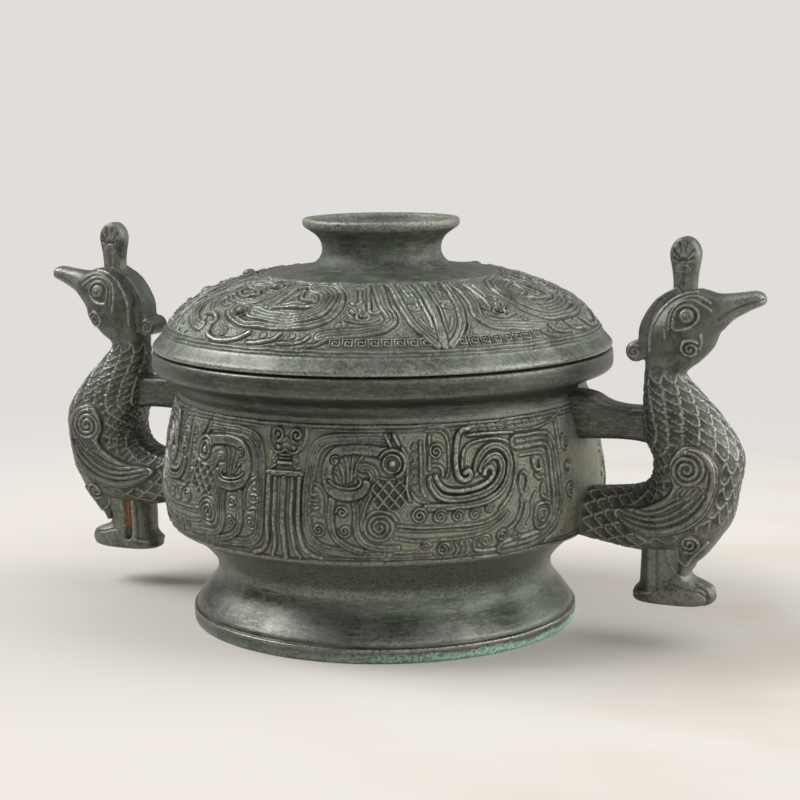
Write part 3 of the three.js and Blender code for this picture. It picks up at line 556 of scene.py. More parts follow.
THIGH_LINE = [(151.2, 46), (152.4, 42), (155.4, 39.4), (158.6, 43.6), (165.2, 50.8)]
PLUME_EDGE = [(134.2, 134), (135, 141.8), (136.2, 149.8), (138.8, 157), (144.7, 162.4)]
BEAK_SLIT = [(167.4, 151.1), (171, 154.1), (176, 157.2), (180.9, 159.1), (188, 160.8)]
# Thigh from the flank down: back x and z, front x and z, half breadth
THIGH_RIBS = [
    (146, 60, 172.4, 61, 16),
    (147, 54, 170, 54, 14.6),
    (148.4, 48, 166, 47.6, 13.2),
    (149.6, 42.6, 161.6, 42, 12),
    (150.6, 38, 157, 37.6, 11),
    (151.6, 34, 155, 34, 10),
]
# Crest: share of its height, and of its half width there
CREST_SHARES = [
    (-0.4, 0.74), (0.05, 0.75), (0.32, 0.82), (0.56, 0.97), (0.68, 1), (0.8, 0.91), (0.9, 0.7), (0.97, 0.42),
    (1, 0.1),
]
# Upper bar: x, and how far it flares up and down there
BAR_FLARE = [
    (97, 6, 1), (99, 6, 1), (104, 5.8, 0.9), (109, 4.6, 0.6), (113.5, 2.2, 0.3), (118, 0.8, 0.1), (124, 0, 0),
    (131, 0, 0.4), (137, 0.6, 1.8), (142, 1.6, 5),
]


def bird_point(out, up):
    """A point of the bird's side view, from hundredths of its length and height."""
    return BELLY_R + BIRD_LENGTH * out / 100, SOLE_Z + BIRD_HEIGHT * up / 100


def blended_rows(rows, steps):
    """Rows of numbers smoothly blended between the given ones."""
    v = np.array(rows, float)
    v = np.vstack([2 * v[0] - v[1], v, 2 * v[-1] - v[-2]])
    t = np.linspace(0, len(rows) - 1, steps)
    i = np.minimum(t.astype(int), len(rows) - 2)
    f = (t - i)[:, None]
    a, b, c, d = v[i], v[i + 1], v[i + 2], v[i + 3]
    return b + ((c - a) * f + (2 * a - 5 * b + 4 * c - d) * f**2 + (3 * b - a - 3 * c + d) * f**3) / 2


def rib_grid(rows, around, power):
    """Points of a loft whose ribs are rounded boxes across the XZ plane; power 2 is an ellipse."""
    turn = 2 * math.pi * np.arange(around) / around
    along = np.sign(np.cos(turn)) * np.abs(np.cos(turn)) ** (2 / power)
    across = np.sign(np.sin(turn)) * np.abs(np.sin(turn)) ** (2 / power)
    high, low, half = rows[:, 0:2], rows[:, 2:4], rows[:, 4:5]
    middle = (high + low) / 2
    reach = (high - low) / 2
    x = middle[:, 0:1] + reach[:, 0:1] * along
    z = middle[:, 1:2] + reach[:, 1:2] * along
    return np.stack([x, half * across, z], -1)


def tube_faces(rows, around, first=0):
    """Faces of a closed tube of rings, with a flat face on each end."""
    index = first + np.arange(rows * around).reshape(rows, around)
    beside = np.roll(index, -1, 1)
    quads = np.stack([index[:-1], index[1:], beside[1:], beside[:-1]], -1).reshape(-1, 4).tolist()
    return quads + [index[0].tolist(), index[-1][::-1].tolist()]


def slab(outline, low, high):
    """A flat form with an (x, z) outline, between two places along Y."""
    count = len(outline)
    sides = [np.column_stack([outline[:, 0], np.full(count, y), outline[:, 1]]) for y in (low, high)]
    faces = [list(range(count)), list(range(2 * count - 1, count - 1, -1))]
    for i in range(count):
        j = (i + 1) % count
        faces.append([i, count + i, count + j, j])
    return np.vstack(sides), faces


def volume(points, faces):
    """Signed volume of a closed mesh; it is negative when the faces point inwards."""
    total = 0.0
    for count in {len(f) for f in faces}:
        corners = points[np.array([f for f in faces if len(f) == count])]
        for k in range(1, count - 1):
            total += np.einsum("ij,ij->", corners[:, 0], np.cross(corners[:, k], corners[:, k + 1]))
    return total / 6


def outward(points, faces):
    """The faces of a closed mesh, turned round if they point inwards."""
    return [f[::-1] for f in faces] if volume(points, faces) < 0 else faces


def solid_mesh(name, points, faces):
    """A closed mesh from points in millimetres, with its faces outwards."""
    mesh = bpy.data.meshes.new(name)
    mesh.from_pydata((points * MM).tolist(), [], outward(points, faces))
    return mesh


def set_mark(mesh, key, values):
    """Keeps one number for each point of a mesh, for its finish or its copies."""
    mark = mesh.attributes.new(key, "FLOAT", "POINT")
    mark.data.foreach_set("value", np.asarray(values, np.float32))


def new_object(name, data):
    """A new object in the scene's collection."""
    made = bpy.data.objects.new(name, data)
    bpy.context.collection.objects.link(made)
    return made


def declare(piece, body, nodes):
    """Says which body a piece rides on and which CAD nodes it stands for."""
    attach(piece, body)
    if nodes:
        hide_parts(*nodes)
    return piece


def make_piece(name, points, faces, material, body, nodes, slot, marks, normals=None):
    """A finished piece of the vessel from points in millimetres, riding on its CAD body."""
    mesh = solid_mesh(name, points, faces)
    mesh.shade_smooth()
    for key, values in marks.items():
        set_mark(mesh, key, values)
    if normals is not None:
        mesh.normals_split_custom_set_from_vertices(normals.tolist())
    mesh.materials.append(material)
    return declare(new_object(name, mesh), body, nodes)


def cast_wave(points, height):
    """Slow unevenness of a hand-finished casting, in millimetres."""
    x, y, z = np.moveaxis(points, -1, 0)
    wave = np.sin(0.061 * x + 0.083 * y + 0.9) + np.sin(0.094 * y - 0.071 * z + 2.1)
    wave = wave + np.sin(0.113 * z + 0.057 * x - 0.4) + 0.6 * np.sin(0.21 * x - 0.17 * y + 0.13 * z)
    return height * wave / 3.6


def corner_marks(profile):
    """How far a profile's points stand out of, or lie below, the line between their neighbours."""
    reach = 1.5
    gain = 1.1
    place = np.r_[0, np.cumsum(np.linalg.norm(np.diff(profile, axis=0), axis=1))]
    beside = [np.stack([np.interp(place + way, place, v) for v in profile.T], -1) for way in (-reach, reach)]
    along = beside[1] - beside[0]
    length = np.maximum(np.linalg.norm(along, axis=1, keepdims=True), 1e-6)
    out = np.stack([along[:, 1], -along[:, 0]], -1) / length
    r, z = profile.T
    hand = np.sign(np.sum(r * np.roll(z, -1) - np.roll(r, -1) * z))
    stands = hand * np.einsum("ij,ij->i", profile - (beside[0] + beside[1]) / 2, out)
    stands[[0, -1]] = 0
    return np.clip(-gain * stands, 0, 1), np.clip(gain * stands, 0, 1)


def turned(profile, turns, wave=0.0):
    """Points, faces and marks of a form turned about Z from a closed or axis-to-axis profile."""
    profile = profile[np.r_[True, np.linalg.norm(np.diff(profile, axis=0), axis=1) > 1e-4]]
    poles = [int(profile[i, 0] < 1e-6) for i in (0, -1)]
    rings = profile[poles[0] : len(profile) - poles[1]]
    turn = 2 * math.pi * np.arange(turns) / turns
    r, z = rings[:, 0:1], rings[:, 1:2]
    points = np.stack([r * np.sin(turn), -r * np.cos(turn), z + 0 * turn], -1)
    swell = 1 + cast_wave(points, wave) / np.maximum(r, 20)
    points[..., :2] *= swell[..., None]
    index = np.arange(len(rings) * turns).reshape(len(rings), turns)
    after = np.roll(index, -1, 0) if not any(poles) else index[1:]
    before = index if not any(poles) else index[:-1]
    quads = np.stack([before, np.roll(before, -1, 1), np.roll(after, -1, 1), after], -1)
    faces = quads.reshape(-1, 4).tolist()
    points = points.reshape(-1, 3)
    for end, ring, turn_round in ((0, index[0], 1), (-1, index[-1], -1)):
        if poles[end]:
            faces += [[len(points), b, a][::turn_round] for a, b in zip(ring, np.roll(ring, -1))]
            points = np.vstack([points, [[0, 0, profile[end, 1]]]])
    marks = {}
    for key, values in zip(("hollow", "proud"), corner_marks(profile)):
        kept = np.repeat(values[poles[0] : len(profile) - poles[1]], turns)
        marks[key] = np.r_[kept, np.zeros(len(points) - len(kept))]
    return points, faces, marks


def runs_line(runs, spacing):
    """Smooth runs one after another, with an edge where one ends."""
    return np.vstack([smooth_line(run, spacing) for run in runs])


class Meridian:
    """A turned surface's outline, with the place and direction at any length along it."""

    def __init__(self, points):
        self.line = smooth_line(points, 0.2)
        step = np.diff(self.line, axis=0)
        self.length = np.r_[0, np.cumsum(np.linalg.norm(step, axis=1))]
        along = np.gradient(self.line, axis=0)
        along /= np.linalg.norm(along, axis=1, keepdims=True)
        self.out = np.stack([along[:, 1], -along[:, 0]], -1)

    def at(self, length, lift):
        """Radius and height at a length along the outline, raised by lift from the surface."""
        r, z, out_r, out_z = [np.interp(length, self.length, v) for v in (*self.line.T, *self.out.T)]
        return r + out_r * lift, z + out_z * lift


def relief_tile(meridian, along, around, lift_at):
    """A closed tile of relief on a turned surface: points, faces and smooth normals."""
    gap_s, gap_a = along[1] - along[0], around[1] - around[0]
    s = np.r_[along[0] - gap_s, along, along[-1] + gap_s][:, None]
    a = np.r_[around[0] - gap_a, around, around[-1] + gap_a][None]
    lift = lift_at(s + 0 * a, a + 0 * s)
    r, z = meridian.at(s + 0 * a, lift)
    grid = np.stack([r * np.sin(a), -r * np.cos(a), z], -1)
    up = grid[2:, 1:-1] - grid[:-2, 1:-1]
    side = grid[1:-1, 2:] - grid[1:-1, :-2]
    normals = np.cross(side, up)
    normals /= np.linalg.norm(normals, axis=-1, keepdims=True)
    front = grid[1:-1, 1:-1]
    if np.einsum("ijk,ijk->", normals, front * (1, 1, 0.2)) < 0:
        normals = -normals
    rows, columns = front.shape[:2]
    kept = np.linspace(0, rows - 1, BACK_ROWS).astype(int)
    back_r, back_z = meridian.at(along[kept][:, None] + 0 * around, -TILE_DEPTH)
    back = np.stack([back_r * np.sin(around), -back_r * np.cos(around), back_z], -1)
    points = np.vstack([front.reshape(-1, 3), back.reshape(-1, 3)])
    inward = -normals[kept]
    all_normals = np.vstack([normals.reshape(-1, 3), inward.reshape(-1, 3)])
    f = np.arange(rows * columns).reshape(rows, columns)
    b = rows * columns + np.arange(BACK_ROWS * columns).reshape(BACK_ROWS, columns)

    def quads(p, q):
        return np.stack([p[:-1], p[1:], q[1:], q[:-1]], -1)

    faces = np.stack([f[:-1, :-1], f[:-1, 1:], f[1:, 1:], f[1:, :-1]], -1).reshape(-1, 4).tolist()
    faces += np.stack([b[:-1, :-1], b[1:, :-1], b[1:, 1:], b[:-1, 1:]], -1).reshape(-1, 4).tolist()
    faces += quads(b[0], f[0]).tolist() + quads(f[-1], b[-1]).tolist()
    faces.append(f[:, 0].tolist() + b[::-1, 0].tolist())
    faces.append(f[::-1, -1].tolist() + b[:, -1].tolist())
    return points, faces, all_normals


def relief_marks(relief, gain):
    """Fields that tell grooves from ridge tops, for the finish."""
    reach = 1.3
    bump = relief.height - blurred(relief.height, int(reach / relief.step))
    return np.clip(-gain * bump, 0, 1), np.clip(gain * bump, 0, 1)


def stray(turn, length, reach):
    """Small wanderings of hand-cut lines round a turned surface, in millimetres."""
    aside = np.sin(35 * turn + 0.31 * length) + 0.4 * np.sin(61 * turn - 0.7 * length + 2.0)
    up = np.sin(29 * turn - 0.23 * length + 0.7) + 0.4 * np.sin(73 * turn + 0.5 * length)
    return reach * np.stack([aside, up], -1)


def left_by_wear(turn, length, wear):
    """Share of the cut height that use has left, round a turned surface."""
    slow = np.sin(19 * turn + 0.17 * length + 0.5) + np.sin(31 * turn - 0.23 * length)
    return 0.84 + wear * (slow + 0.7 * np.sin(57 * turn + 0.41 * length + 1.2))


def relief_quarters(name, meridian, along, start, columns, drawn, relief, share, wear, finish, owner):
    """Sets a drawn pattern on four quarters of a turned surface as closed tiles."""
    hollow, proud = relief_marks(relief, 1.4)
    ground = np.clip((relief.nearest - 0.1) / 0.4, 0, 1)
    fields = {"hollow": hollow, "proud": 0.75 * proud, "ground": ground}
    unseen = np.zeros(BACK_ROWS * columns)
    for k, side in enumerate(("front_right", "back_right", "back_left", "front_left")):
        around = start + np.linspace(k, k + 1, columns) * math.pi / 2
        chance = np.random.default_rng(PIT_SEED + k)

        def lift(s, a):
            pits = PIT_DEPTH * blurred(chance.normal(0, 1, s.shape), 1)
            return share * left_by_wear(a, s, wear) * relief.sample(relief.height, drawn(s, a)) + pits

        points, faces, normals = relief_tile(meridian, along, around, lift)
        flat = drawn(along[:, None] + 0 * around, around + 0 * along[:, None])
        marks = {key: np.r_[relief.sample(field, flat).ravel(), unseen] for key, field in fields.items()}
        make_piece(name + "_" + side, points, faces, finish, *owner, marks, normals)


def breast_net(relief):
    """Crossed ridges of the phoenix's scaly breast."""
    pitch, lean, half, lift = 5.0, 9, 0.62, 1.25
    net = np.zeros(relief.height.shape)
    for k in range(-6, 8):
        foot = 47.5 + pitch * k
        for way in (lean, -lean):
            away = relief.distance(np.array([(foot - way, 69.0), (foot + way, 90.0)]), 2)
            net = np.maximum(net, lift * np.clip(1 - (away / half) ** 2, 0, 1))
    return net


def belly_relief(step):
    """The belly's ornament on a quarter of the wall."""
    r = Relief((-2, 45), (BELLY_END, 113), step)
    for z, width, height, start in BELLY_BORDERS:
        r.ridge(np.array([(start, z), (BELLY_END, z)]), width, height)
    r.strokes(MASK_PILLAR + PHOENIX + NESTED_FRAME)
    for width, height, points in FRAME_RINGS:
        r.ridge(smooth_line(points, closed=True), width, height)
    r.spirals(BELLY_SPIRALS)
    for k in range(6):
        sense = 1 if k % 2 else -1
        r.ridge(spiral_line((58.9, 99.8 - 3.5 * k), 1.55, 1.5, 90 + 180 * (k % 2), sense, 0.1), 0.7, 0.9)
    r.ridge(ring_line(PHOENIX_EYE, 6.0, -70, 150), 1.5, 1.7)
    r.ridge(ring_line(PHOENIX_EYE, 3.9), 1.1, 1.5)
    x, z = r.grid[..., 0], r.grid[..., 1]
    breast = ((x - 47.6) / 7.6) ** 4 + ((z - 79.6) / 6.4) ** 4 < 1
    r.height = np.where(breast, breast_net(r), r.height)
    r.nearest = np.where(breast, -1, r.nearest)
    for middle, radius, height in BELLY_BOSSES:
        r.boss(middle, radius, height)
    plain = np.clip((x - 146) / 3, 0, 1)
    plain = np.maximum(plain, (x < 17) & (z > 86) & (x > 8))
    plain = np.maximum(np.maximum(plain, breast), z > 107)
    r.thunder_ground(x / SPIRAL_CELL, z / SPIRAL_CELL, 0.65, 1 - plain)
    r.height = r.height * np.clip((109.9 - z) / 0.5, 0, 1)
    return r


def lid_flat(points):
    """Degrees from the pattern's axis and mm in from the edge, as points of the flat pattern."""
    p = np.array(points, float)
    turn = np.radians(p[..., 0])
    rho = LID_SPAN - p[..., 1]
    return np.stack([rho * np.sin(turn), rho * np.cos(turn)], -1)


def lid_relief(step):
    """The lid's ornament on a quarter of the dome."""
    r = Relief((-3, -3), (114, 114), step)
    for inward, width, height in LID_BORDERS:
        r.ridge(lid_flat([(a, inward) for a in np.linspace(-4, 94, 160)]), width, height)
    r.strokes(LID_STROKES, lid_flat)
    r.spirals(LID_SPIRALS, lid_flat)
    for turn, inward, radius in LID_EYES:
        r.ridge(ring_line(lid_flat((turn, inward)), radius + 1.1), 0.9, 1.1)
    inward = LID_SPAN - np.linalg.norm(r.grid, axis=-1)
    turn = np.arctan2(r.grid[..., 0], r.grid[..., 1])
    row = (inward < 20) & (np.degrees(turn) > 3) & (np.degrees(turn) < 29)
    where = np.clip(inward - 13, 0, 1) * np.clip(65 - inward, 0, 1) * ~row
    r.thunder_ground(90 * turn / SPIRAL_CELL, inward / SPIRAL_CELL, 0.85, where)
    return r


def bird_relief(lift, step):
    """The bird's flank seen from its side: wing, thigh, eye, brows, cheek and beak."""
    r = Relief((100, 12), (192, 192), step)
    r.plate(WING, lift, 1.0)
    r.base = 0.35 * lift
    r.strokes(WING_STROKES)
    r.ridge(spiral_line((157.6, 85), 7.6, 2.7, 95, -1), 1.7, 1.6)
    r.base = 0.0
    r.ridge(spiral_line((157.7, 50.2), 4.6, 1.9, 240, 1), 1.4, 1.2)
    r.ridge(smooth_line(THIGH_LINE), 1.3, 0.9)
    r.strokes(HEAD_STROKES)
    r.ridge(smooth_line(EYE_RING, closed=True), 1.0, 0.9)
    r.boss(BIRD_EYE, 3.5, 2.1)
    r.groove(ring_line(BIRD_EYE, 1.4), 0.7, 0.4)
    r.ridge(spiral_line((155.8, 138.4), 4.2, 1.9, 40, 1), 1.3, 1.1)
    r.ridge(spiral_line((128.6, 135.2), 3.4, 1.6, 60, 1), 1.1, 0.8)
    r.groove(smooth_line(PLUME_EDGE), 0.9, 0.5)
    r.groove(smooth_line(BEAK_SLIT), 1.1, 0.7)
    return r


def feather_scales(along, across, length, width):
    """Rows of rounded scales with raised rims that overlap towards the tail: height, groove and rim."""
    bulge = 2.8
    row = np.floor(along / length)
    edge = np.full(along.shape, -1.0)
    aside = np.zeros(along.shape)
    for k in (row + 1, row, row - 1):
        x = across / width + 0.5 * (k % 2)
        column = np.floor(x)
        x = x - column - 0.5
        uneven = 0.12 * np.sin(12.9 * k + 7.7 * column)
        tip = (k + 1.1 + uneven - bulge * x**2) * length
        slope = 2 * bulge * x * length / width
        covers = along < tip
        edge = np.where(covers, (tip - along) / np.hypot(1, slope), edge)
        aside = np.where(covers, x * width, aside)
    rise = np.clip(edge / 0.4, 0, 1)
    rim = np.exp(-(((edge - 0.75) / 0.62) ** 2)) * rise
    groove = np.clip(1 - np.abs(edge) / 0.4, 0, 1)
    dot = np.exp(-((edge - 3.3) ** 2 + aside**2) / 0.8)
    middle = np.clip((edge - 1.4) / 0.8, 0, 1) * (1 - dot)
    height = rise * (0.3 + 0.7 * np.maximum(rim, 0.45 * dot))
    return height, np.maximum(groove, 0.68 * middle), np.maximum(rim, 0.35 * dot)


def fused(parts, grain, rounds):
    """One closed skin over overlapping closed forms: points, faces and normals."""
    points, faces, count = [], [], 0
    for form, sides in parts:
        points.append(form)
        faces += [[i + count for i in side] for side in outward(form, sides)]
        count += len(form)
    mesh = bpy.data.meshes.new("forms")
    mesh.from_pydata(np.vstack(points).tolist(), [], faces)
    forms = new_object("forms", mesh)
    skin = forms.modifiers.new("Skin", "REMESH")
    skin.mode = "VOXEL"
    skin.voxel_size = grain
    soften = forms.modifiers.new("Soften", "SMOOTH")
    soften.iterations = rounds
    made = bpy.data.meshes.new_from_object(forms.evaluated_get(bpy.context.evaluated_depsgraph_get()))
    places = np.empty((len(made.vertices), 3), np.float32)
    made.vertices.foreach_get("co", places.ravel())
    normals = np.empty((len(made.vertices), 3), np.float32)
    made.vertex_normals.foreach_get("vector", normals.ravel())
    sides = np.empty((len(made.polygons), 4), np.int32)
    made.loops.foreach_get("vertex_index", sides.ravel())
    bpy.data.objects.remove(forms)
    bpy.data.meshes.remove(mesh)
    bpy.data.meshes.remove(made)
    return places.astype(float), sides.tolist(), normals.astype(float)


def kept_off(points):
    """Points of a handle, with those inside the bowl's inner space pushed back into its wall."""
    outline = runs_line((UNDERSIDE, BELLY, RIM), 0.5)
    wall = np.interp(points[:, 2], outline[:, 1], outline[:, 0]) - HANDLE_SINK
    radius = np.hypot(points[:, 0], points[:, 1])
    points[:, :2] *= np.maximum(1, wall / np.maximum(radius, 1))[:, None]
    return points


def bird_trunk():
    """Tail, breast, neck, head and beak as a fine loft, with lengths along and round it."""
    steps, around = 240, 72
    ribs = [(*bird_point(a, b), *bird_point(c, d), BIRD_HALF * half / 100) for a, b, c, d, half in RIBS]
    rows = blended_rows(ribs, steps)
    grid = rib_grid(rows, around, 2.3)
    upper, lower = rows[:, 0:2], rows[:, 2:4]
    front = np.diff(0.4 * (upper + lower) / 2 + 0.6 * lower, axis=0)
    along = np.r_[0, np.cumsum(np.linalg.norm(front, axis=1))]
    gaps = np.linalg.norm(np.diff(grid, axis=1, append=grid[:, :1]), axis=-1)
    across = np.cumsum(gaps, axis=1) - gaps
    across = across - across[:, around // 2, None]
    return grid, (along[-1] - along)[:, None] + 0 * across, across


def bird_forms(grid):
    """Closed forms that the bird's skin is drawn over: trunk, plume with its curl, and thigh."""
    rows, around = grid.shape[:2]
    forms = [(grid.reshape(-1, 3), tube_faces(rows, around))]
    back = np.array([bird_point(*p) for p in [(31.5, 79), (33, 82.5), (34.5, 88.5), (42, 95), (53, 99)]])
    away = np.array([(-1, 0), (-1, 0.1), (-0.92, 0.4), (-0.64, 0.77), (-0.2, 0.98)])
    edge = smooth_line(back + 2.8 * away, 1.0)
    inner = [bird_point(60, 94), bird_point(45, 80)]
    forms.append(slab(np.vstack([edge, inner]), -7, 7))
    forms.append(slab(ring_line(bird_point(28.5, 80), 4.8, 0, 350), -7, 7))
    rings, around = 30, 40
    thigh = rib_grid(blended_rows(THIGH_RIBS, rings), around, 2.6)
    forms.append((thigh.reshape(-1, 3), tube_faces(rings, around)))
    return forms


def lengths_near(points, grid, along, across):
    """Lengths along and round a loft at points near it, from the loft's three nearest points."""
    tree = kdtree.KDTree(grid.shape[0] * grid.shape[1])
    for i, place in enumerate(grid.reshape(-1, 3)):
        tree.insert(place, i)
    tree.balance()
    flat_along, flat_across = along.ravel(), across.ravel()
    lengths = np.zeros((2, len(points)))
    for i, point in enumerate(points):
        found = tree.find_n(point, 3)
        weight = np.array([1 / (d + 0.05) for _, _, d in found])
        near = [j for _, j, _ in found]
        lengths[0, i] = weight @ flat_along[near] / weight.sum()
        lengths[1, i] = weight @ flat_across[near] / weight.sum()
    return lengths


def bird_skin(settings):
    """The bird's finished skin: points, faces, and marks for its finish."""
    grid, along, across = bird_trunk()
    points, faces, normals = fused(bird_forms(grid), settings.grain / MM, 5)
    relief = bird_relief(settings.wing_lift / MM, 0.3)
    flank = points[:, [0, 2]]
    x, z = flank.T
    facing = np.clip((np.abs(normals[:, 1]) - 0.12) / 0.35, 0, 1)
    facing = facing * facing * (3 - 2 * facing)
    fields = (relief.height, *relief_marks(relief, 1.5))
    drawn, hollow, proud = [relief.sample(field, flank) * facing for field in fields]
    # Scales cover the neck and breast, and leave out the wing, the head, the tail's root and the legs
    clear = np.clip((relief.sample(relief.nearest, flank) - 0.9) / 0.8, 0, 1)
    clear = 1 - facing * (1 - clear)
    clear = clear * np.clip((129 - z) / 4, 0, 1) * np.clip((z - 55 + 0.35 * (165 - x)) / 4, 0, 1)
    clear = clear * np.clip((x - 104) / 4, 0, 1)
    scaled = np.nonzero(clear > 0)[0]
    lengths = np.zeros((2, len(points)))
    lengths[:, scaled] = lengths_near(points[scaled], grid, along, across)
    rise, groove, lip = feather_scales(*lengths, settings.scale_length / MM, settings.scale_width / MM)
    drawn = drawn + clear * (settings.scale_lift / MM) * (rise - 0.5)
    hollow = np.maximum(hollow, clear * groove)
    # Bare metal at the soldered root of the legs and along the rubbed beak
    solder = np.clip(1.6 - np.hypot((x - 134) / 5, (z - 50.7) / 2.2), 0, 1) * (points[:, 1] < 0)
    proud = np.maximum(np.maximum(proud, clear * lip), solder)
    proud = np.maximum(proud, 0.55 * np.clip((x - 167) / 6, 0, 1) * (z > 150))
    # Wing and head are darker than the breast
    wing = relief.inside(smooth_line(WING, closed=True)).astype(float)
    hollow = np.maximum(hollow, 0.4 * relief.sample(wing, flank) * facing * (1 - proud))
    hollow = np.maximum(hollow, 0.46 * np.clip((z - 130) / 6, 0, 1) * (1 - proud))
    rim = relief.distance(smooth_line(WING[:6]), 3)
    rust = 0.32 * np.clip(1 - relief.sample(rim, flank) / 1.0, 0, 1) * facing
    points = kept_off(points + normals * drawn[:, None])
    return points, faces, {"hollow": hollow, "proud": proud, "rust": rust}


def loft_normals(grid):
    """Outward directions at the points of a loft of rings."""
    normals = np.cross(np.roll(grid, -1, 1) - np.roll(grid, 1, 1), np.gradient(grid, axis=0)).reshape(-1, 3)
    normals /= np.maximum(np.linalg.norm(normals, axis=1, keepdims=True), 1e-9)
    return normals if np.sum(normals[:, 1] * grid[..., 1].ravel()) > 0 else -normals


def leg_skin():
    """The leg block: shank and toes in front, a slot in its flank and a half-round slab behind."""
    rings, around, squareness = 120, 120, 0.78
    levels = blended_rows(LEG_LEVELS, rings)
    turn = 2 * math.pi * np.arange(around) / around
    along = np.sign(np.cos(turn)) * np.abs(np.cos(turn)) ** squareness
    across = np.sign(np.sin(turn)) * np.abs(np.sin(turn)) ** squareness
    z, back, front, half = [levels[:, i : i + 1] for i in range(4)]
    grid = np.stack([(back + front) / 2 + (front - back) / 2 * along, half * across, z + 0 * turn], -1)
    points, normals = grid.reshape(-1, 3), loft_normals(grid)
    flank = points[:, [0, 2]]
    # One flank has a scratched line where the other has an open slot
    sides = []
    for width, depth in ((1.6, 0.5), (4.4, 2.6)):
        r = Relief((120, 10), (175, 60), 0.3)
        r.groove(np.array([(141.4, 26.5), (141.4, 45)]), width, depth)
        r.ridge(np.array([(137.6, 25), (137.8, 48)]), 2.6, 0.6)
        r.ridge(smooth_line([(127, 23.4), (132, 23.6), (136.6, 24.6)]), 2.0, 0.8)
        r.ridge(smooth_line([(146.6, 49), (147.4, 42), (149.6, 36), (153, 31.6)]), 1.1, 0.6)
        r.groove(smooth_line([(149, 29.6), (155, 27.8), (161, 26.4), (165, 23)]), 0.9, 0.5)
        sides.append([r.sample(field, flank) for field in (r.height, *relief_marks(r, 1.3))])
    facing = np.clip((np.abs(normals[:, 1]) - 0.3) / 0.4, 0, 1)
    far = points[:, 1] > 0
    drawn, hollow, proud = [np.where(far, slot, line) for line, slot in zip(*sides)]
    toes = np.zeros(len(points))
    for y in (-6.2, 0, 6.2):
        toes = np.maximum(toes, np.exp(-(((points[:, 1] - y) / 0.6) ** 2)))
    toes = toes * np.clip((points[:, 0] - 156) / 3, 0, 1) * np.clip((31 - points[:, 2]) / 2, 0, 1)
    marks = {
        "hollow": np.maximum(hollow * facing, 0.8 * toes),
        "proud": np.maximum(proud * facing, 0.2),
        "rust": far * facing * np.clip(-drawn, 0, 1) * np.clip((points[:, 2] - 29) / 5, 0, 1),
    }
    points = points + normals * (drawn * facing - 0.9 * toes)[:, None]
    points[:, 2] = np.maximum(points[:, 2], SOLE_Z)
    return points, tube_faces(rings, around), marks


def crest_skin():
    """The upright crest on the head: a smooth paddle with a fluted fan over two curls."""
    rings, around = 110, 112
    tall, wide, thick = 23, 6.9, 5.2
    x0, z0 = bird_point(54.8, 100)
    rows = [
        (x0 - wide * w, z0 + tall * up, x0 + wide * w, z0 + tall * up, thick * (0.6 + 0.4 * w))
        for up, w in CREST_SHARES
    ]
    grid = rib_grid(blended_rows(rows, rings), around, 3.6)
    points, normals = grid.reshape(-1, 3), loft_normals(grid)
    r = Relief((x0 - 9, z0 - 12), (x0 + 9, z0 + 26), 0.15)
    for side in (1, -1):
        r.ridge(spiral_line((x0 + side * 2.1, z0 + 8.8), 1.8, 1.6, 90, side), 0.7, 0.5)
        edge = [(x0 + side * 4.6, z0 + 6), (x0 + side * 4.7, z0 + 9), (x0 + side * 4, z0 + 11.4)]
        r.groove(smooth_line(edge), 0.7, 0.4)
    r.groove(np.array([(x0, z0 + 1), (x0, z0 + 6.6)]), 0.8, 0.45)
    middle = np.array([x0, z0 + 11.4])
    for lean in (-62, -37, -12, 12, 37, 62):
        a = math.radians(lean)
        way = np.array([math.sin(a), math.cos(a)])
        reach = min(9.0, 4.8 / max(abs(way[0]), 0.1))
        r.groove(np.array([middle + 1.6 * way, middle + reach * way]), 1.2, 0.6)
    facing = np.clip((np.abs(normals[:, 1]) - 0.75) / 0.2, 0, 1)
    flank = points[:, [0, 2]]
    hollow, proud = [r.sample(field, flank) * facing for field in relief_marks(r, 1.8)]
    points = points + normals * (r.sample(r.height, flank) * facing)[:, None]
    return points, tube_faces(rings, around), {"hollow": hollow, "proud": proud}


def bridge_skin():
    """The flat bar from the neck to the belly, which flares where it meets wall and neck."""
    rings, around = 60, 64
    rows = [(x, 109.6 + rise, x, 94.0 - drop, 7.5 + 0.2 * rise) for x, rise, drop in BAR_FLARE]
    grid = rib_grid(blended_rows(rows, rings), around, 4.4)
    return kept_off(grid.reshape(-1, 3).copy()), tube_faces(rings, around), {}


def half_turn(points):
    """The same form on the vessel's other side."""
    return points * (-1, -1, 1)


def add_node(tree, kind, inputs=None, out=0, **settings):
    """Adds a node with its settings and hands on one output, or all of them where out is None.
    Each input is a value or another node's output."""
    made = tree.nodes.new(kind)
    for key, value in settings.items():
        setattr(made, key, value)
    for key, value in (inputs or {}).items():
        if isinstance(value, bpy.types.NodeSocket):
            tree.links.new(value, made.inputs[key])
        else:
            made.inputs[key].default_value = value
    return made.outputs if out is None else made.outputs[out]


